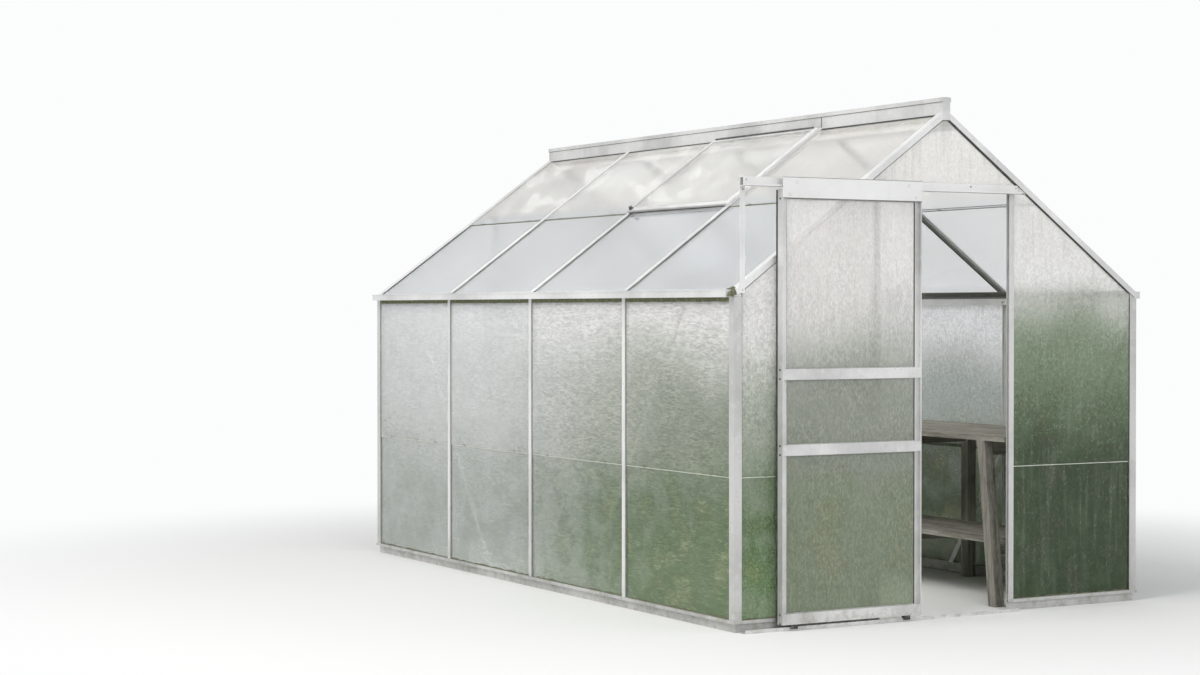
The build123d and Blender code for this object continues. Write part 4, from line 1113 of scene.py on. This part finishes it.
def ragged(base, scale, spread):
    """Height of a ragged edge, as a function of the point."""
    def height_at(point):
        wave = field.noise(point * scale) + 0.5 * field.noise(point * (scale * 2.7))
        return max(0.001, base + spread * wave)
    return height_at


# Olive film under the gutter: green growth and painted shadow of the gutter
olive_film_and_shadow = Shape("olive_film_and_gutter_shadow")
soil = Shape("soil_on_sills")
for side in (-1, 1):
    out = RIGHT * side
    high = RIGHT * (side * (half + UPPER_OUT + OFF_GLASS)) + UP * (eaves - OFF_GUTTER)
    low = RIGHT * (side * (half + LOWER_OUT + OFF_GLASS)) + UP * (foot + OFF_SILL)
    for number in range(BAYS):
        near_cap = POST_CAP if number == 0 else CAP_HALF
        far_cap = POST_CAP if number == BAYS - 1 else CAP_HALF
        start = REAR * (front + number * bay + near_cap + SEAL_WIDTH)
        end = REAR * (front + (number + 1) * bay - far_cap - SEAL_WIDTH)
        film(olive_film_and_shadow, high + start, high + end, out, ragged(*FILM_EDGE), FILM_THICK, -UP)
        film(soil, low + start, low + end, out, ragged(*SOIL_EDGE), SOIL_THICK, UP)
low = Vector((0.0, front - LOWER_OUT - OFF_GLASS, foot + OFF_SILL))
inner, outer = post_x + CAP_HALF + END_CLEAR, half - POST_CAP - END_CLEAR
for out in (-RIGHT, RIGHT):
    film(soil, low + out * inner, low + out * outer, -REAR, ragged(*SOIL_EDGE), SOIL_THICK, UP)
olive_film_and_shadow.close(algae_and_shade)
soil.close(moss)

# %% [markdown]
# ## Moss and leaf litter
# Moss grows in cushions, and litter lies in flat heaps. Both start as a ball of few faces that is
# squashed and dented by the noise field. A seeded random generator spreads them, so that every run
# of the script puts them in the same places.

# %% Moss and litter
GUTTER_WIDTH = 0.040
GUTTER_SHEET = 0.0025
HEAPS = 34              # in each gutter
END_GAP = 0.03
gutter_floor = eaves + GUTTER_SHEET
growth = Shape("moss_and_litter")
dice = random.Random(7)


def cushion(shape, place, size, turn):
    """Squashed, dented ball that sits on a place."""
    spread = Matrix.Rotation(turn, 4, "Z") @ Matrix.Diagonal((*size, 1.0))
    matrix = Matrix.Translation(place) @ spread
    made = bmesh.ops.create_icosphere(shape.mesh, subdivisions=2, radius=1.0, matrix=matrix)
    for vert in made["verts"]:
        dent = 1.0 + 0.35 * field.noise(vert.co * 140.0)
        vert.co = place + (vert.co - place) * dent
        vert.co.z = max(vert.co.z, place.z)


for side in (-1, 1):
    for heap in range(HEAPS):
        y = front + END_GAP + dice.random() * (rear - front - 2 * END_GAP)
        x = side * (half + 0.019 + dice.random() * (GUTTER_WIDTH - 0.030))
        size = (0.003 + 0.004 * dice.random(), 0.006 + 0.016 * dice.random(), 0.003 + 0.005 * dice.random())
        cushion(growth, Vector((x, y, gutter_floor)), size, 0.0)
near_corner = Vector((-half - 0.020, front + 0.020, gutter_floor))
for shift, size in (
    ((0.0, -0.004, 0.002), (0.017, 0.026, 0.026)),
    ((0.004, 0.030, 0.0), (0.012, 0.020, 0.016)),
    ((0.010, -0.028, 0.006), (0.012, 0.012, 0.024)),
    ((0.014, -0.010, 0.016), (0.013, 0.018, 0.020)),
    ((-0.006, -0.026, 0.0), (0.010, 0.010, 0.018)),
    ((0.002, 0.062, 0.0), (0.008, 0.018, 0.010)),
):
    cushion(growth, near_corner + Vector(shift), size, dice.random())
growth.close(moss)

# %% [markdown]
# ## Bolts and nuts
# The house is held by square-necked bolts that slide in the channels of the bars, with nuts inside.
# They are small, but their regular rhythm tells the eye how the thing is built. One profile spun with
# six sides is a nut, and loops put it at the foot and head of each bar and where the braces cross.

# %% Nuts inside the house
SHEET = 0.0025
BRACE_TOP_BAY, BRACE_FOOT_BAY = 0.45, 1.45      # where a side brace ends, in bays from the gable
BRACE_THICK = 0.003
NUT_ABOVE_SILL = 0.014
NUT_BELOW_EAVES = 0.0125
NUT_BELOW_HEADER = 0.016
nuts = Shape("nuts_and_bolts")
foot_nut_z = foot + NUT_ABOVE_SILL
cross_share = (BRACE_FOOT_BAY - 1.0) / (BRACE_FOOT_BAY - BRACE_TOP_BAY)
cross_z = foot + cross_share * (eaves - foot)
for side in (-1, 1):
    inner_x = side * (half - STEM_IN - SHEET)
    for y in bar_places:
        nuts.turned(Vector((inner_x, y, eaves - NUT_BELOW_EAVES)), RIGHT * -side, HEX_NUT, 6)
        nuts.turned(Vector((side * (half - STEM_IN), y, foot_nut_z)), RIGHT * -side, HEX_NUT, 6)
    for y in (front + bay, rear - bay):
        nuts.turned(Vector((inner_x - side * BRACE_THICK, y, cross_z)), RIGHT * -side, HEX_NUT, 6)
for y, out in ((front + STEM_IN, REAR), (rear - STEM_IN, -REAR)):
    for side in (-1, 1):
        for z in (foot_nut_z, header_low - NUT_BELOW_HEADER):
            nuts.turned(Vector((side * post_x, y, z)), out, HEX_NUT, 6)
nuts.close(steel, slot="axle_steel")

# %% Bolts of the track, strut and gutters
TRACK_BOX_DEPTH = 0.0242
BOLT_INSET = 0.012
track_low, track_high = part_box("door_track")
strut_low, strut_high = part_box("track_strut")
track_y, track_z = track_high.y - TRACK_BOX_DEPTH, track_high.z - 0.010
strut_x = 0.5 * (strut_low.x + strut_high.x)
outer_bolts = Shape("track_and_strut_bolts")
for x in (track_low.x + BOLT_INSET, 0.5 * (track_low.x + track_high.x), post_x, 0.10):
    outer_bolts.turned(Vector((x, track_y, track_z)), -REAR, PAN_HEAD)
for z in (strut_low.z + BOLT_INSET, strut_high.z - BOLT_INSET):
    outer_bolts.turned(Vector((strut_x, strut_low.y, z)), -REAR, PAN_HEAD)
for side in (-1, 1):
    for y in (front + 0.5 * bay, rear - 0.5 * bay):
        outer_bolts.turned(Vector((side * (half + 0.010), y, eaves)), -UP, PAN_HEAD)
outer_bolts.close(steel, slot="axle_steel")

# %% [markdown]
# ## Nails in the bench
# Round nails hold the boards to the cross rails. They are sunk a little, rusty, and out of line, as
# they are when a bench is knocked together by hand. The seeded dice moves each by a few millimetres.

# %% Bench nails
NAIL = ((0.0030, -0.002), (0.0030, 0.0002), (0.0022, 0.0006), (0.0008, 0.0007))
BOARD_GAP = 0.008
RAIL_INSET = 0.15
NAIL_SHIFTS = (-0.022, 0.022)       # from the middle of a board
nails = Shape("bench_nails")
bench_low, bench_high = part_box("bench_top")
shelf_low, shelf_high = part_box("bench_shelf")
rail_rows = (bench_low.y + RAIL_INSET, 0.5 * (bench_low.y + bench_high.y), bench_high.y - RAIL_INSET)
for low, high, count in ((bench_low, bench_high, 6), (shelf_low, shelf_high, 4)):
    board_step = (high.x - low.x + BOARD_GAP) / count
    for number in range(count):
        middle_x = low.x + (number + 0.5) * board_step - BOARD_GAP / 2
        for y in rail_rows:
            for shift in NAIL_SHIFTS:
                x = middle_x + shift + dice.uniform(-0.003, 0.003)
                nails.turned(Vector((x, y + dice.uniform(-0.004, 0.004), high.z)), UP, NAIL, 8)
nails.close(steel, slot="axle_steel")
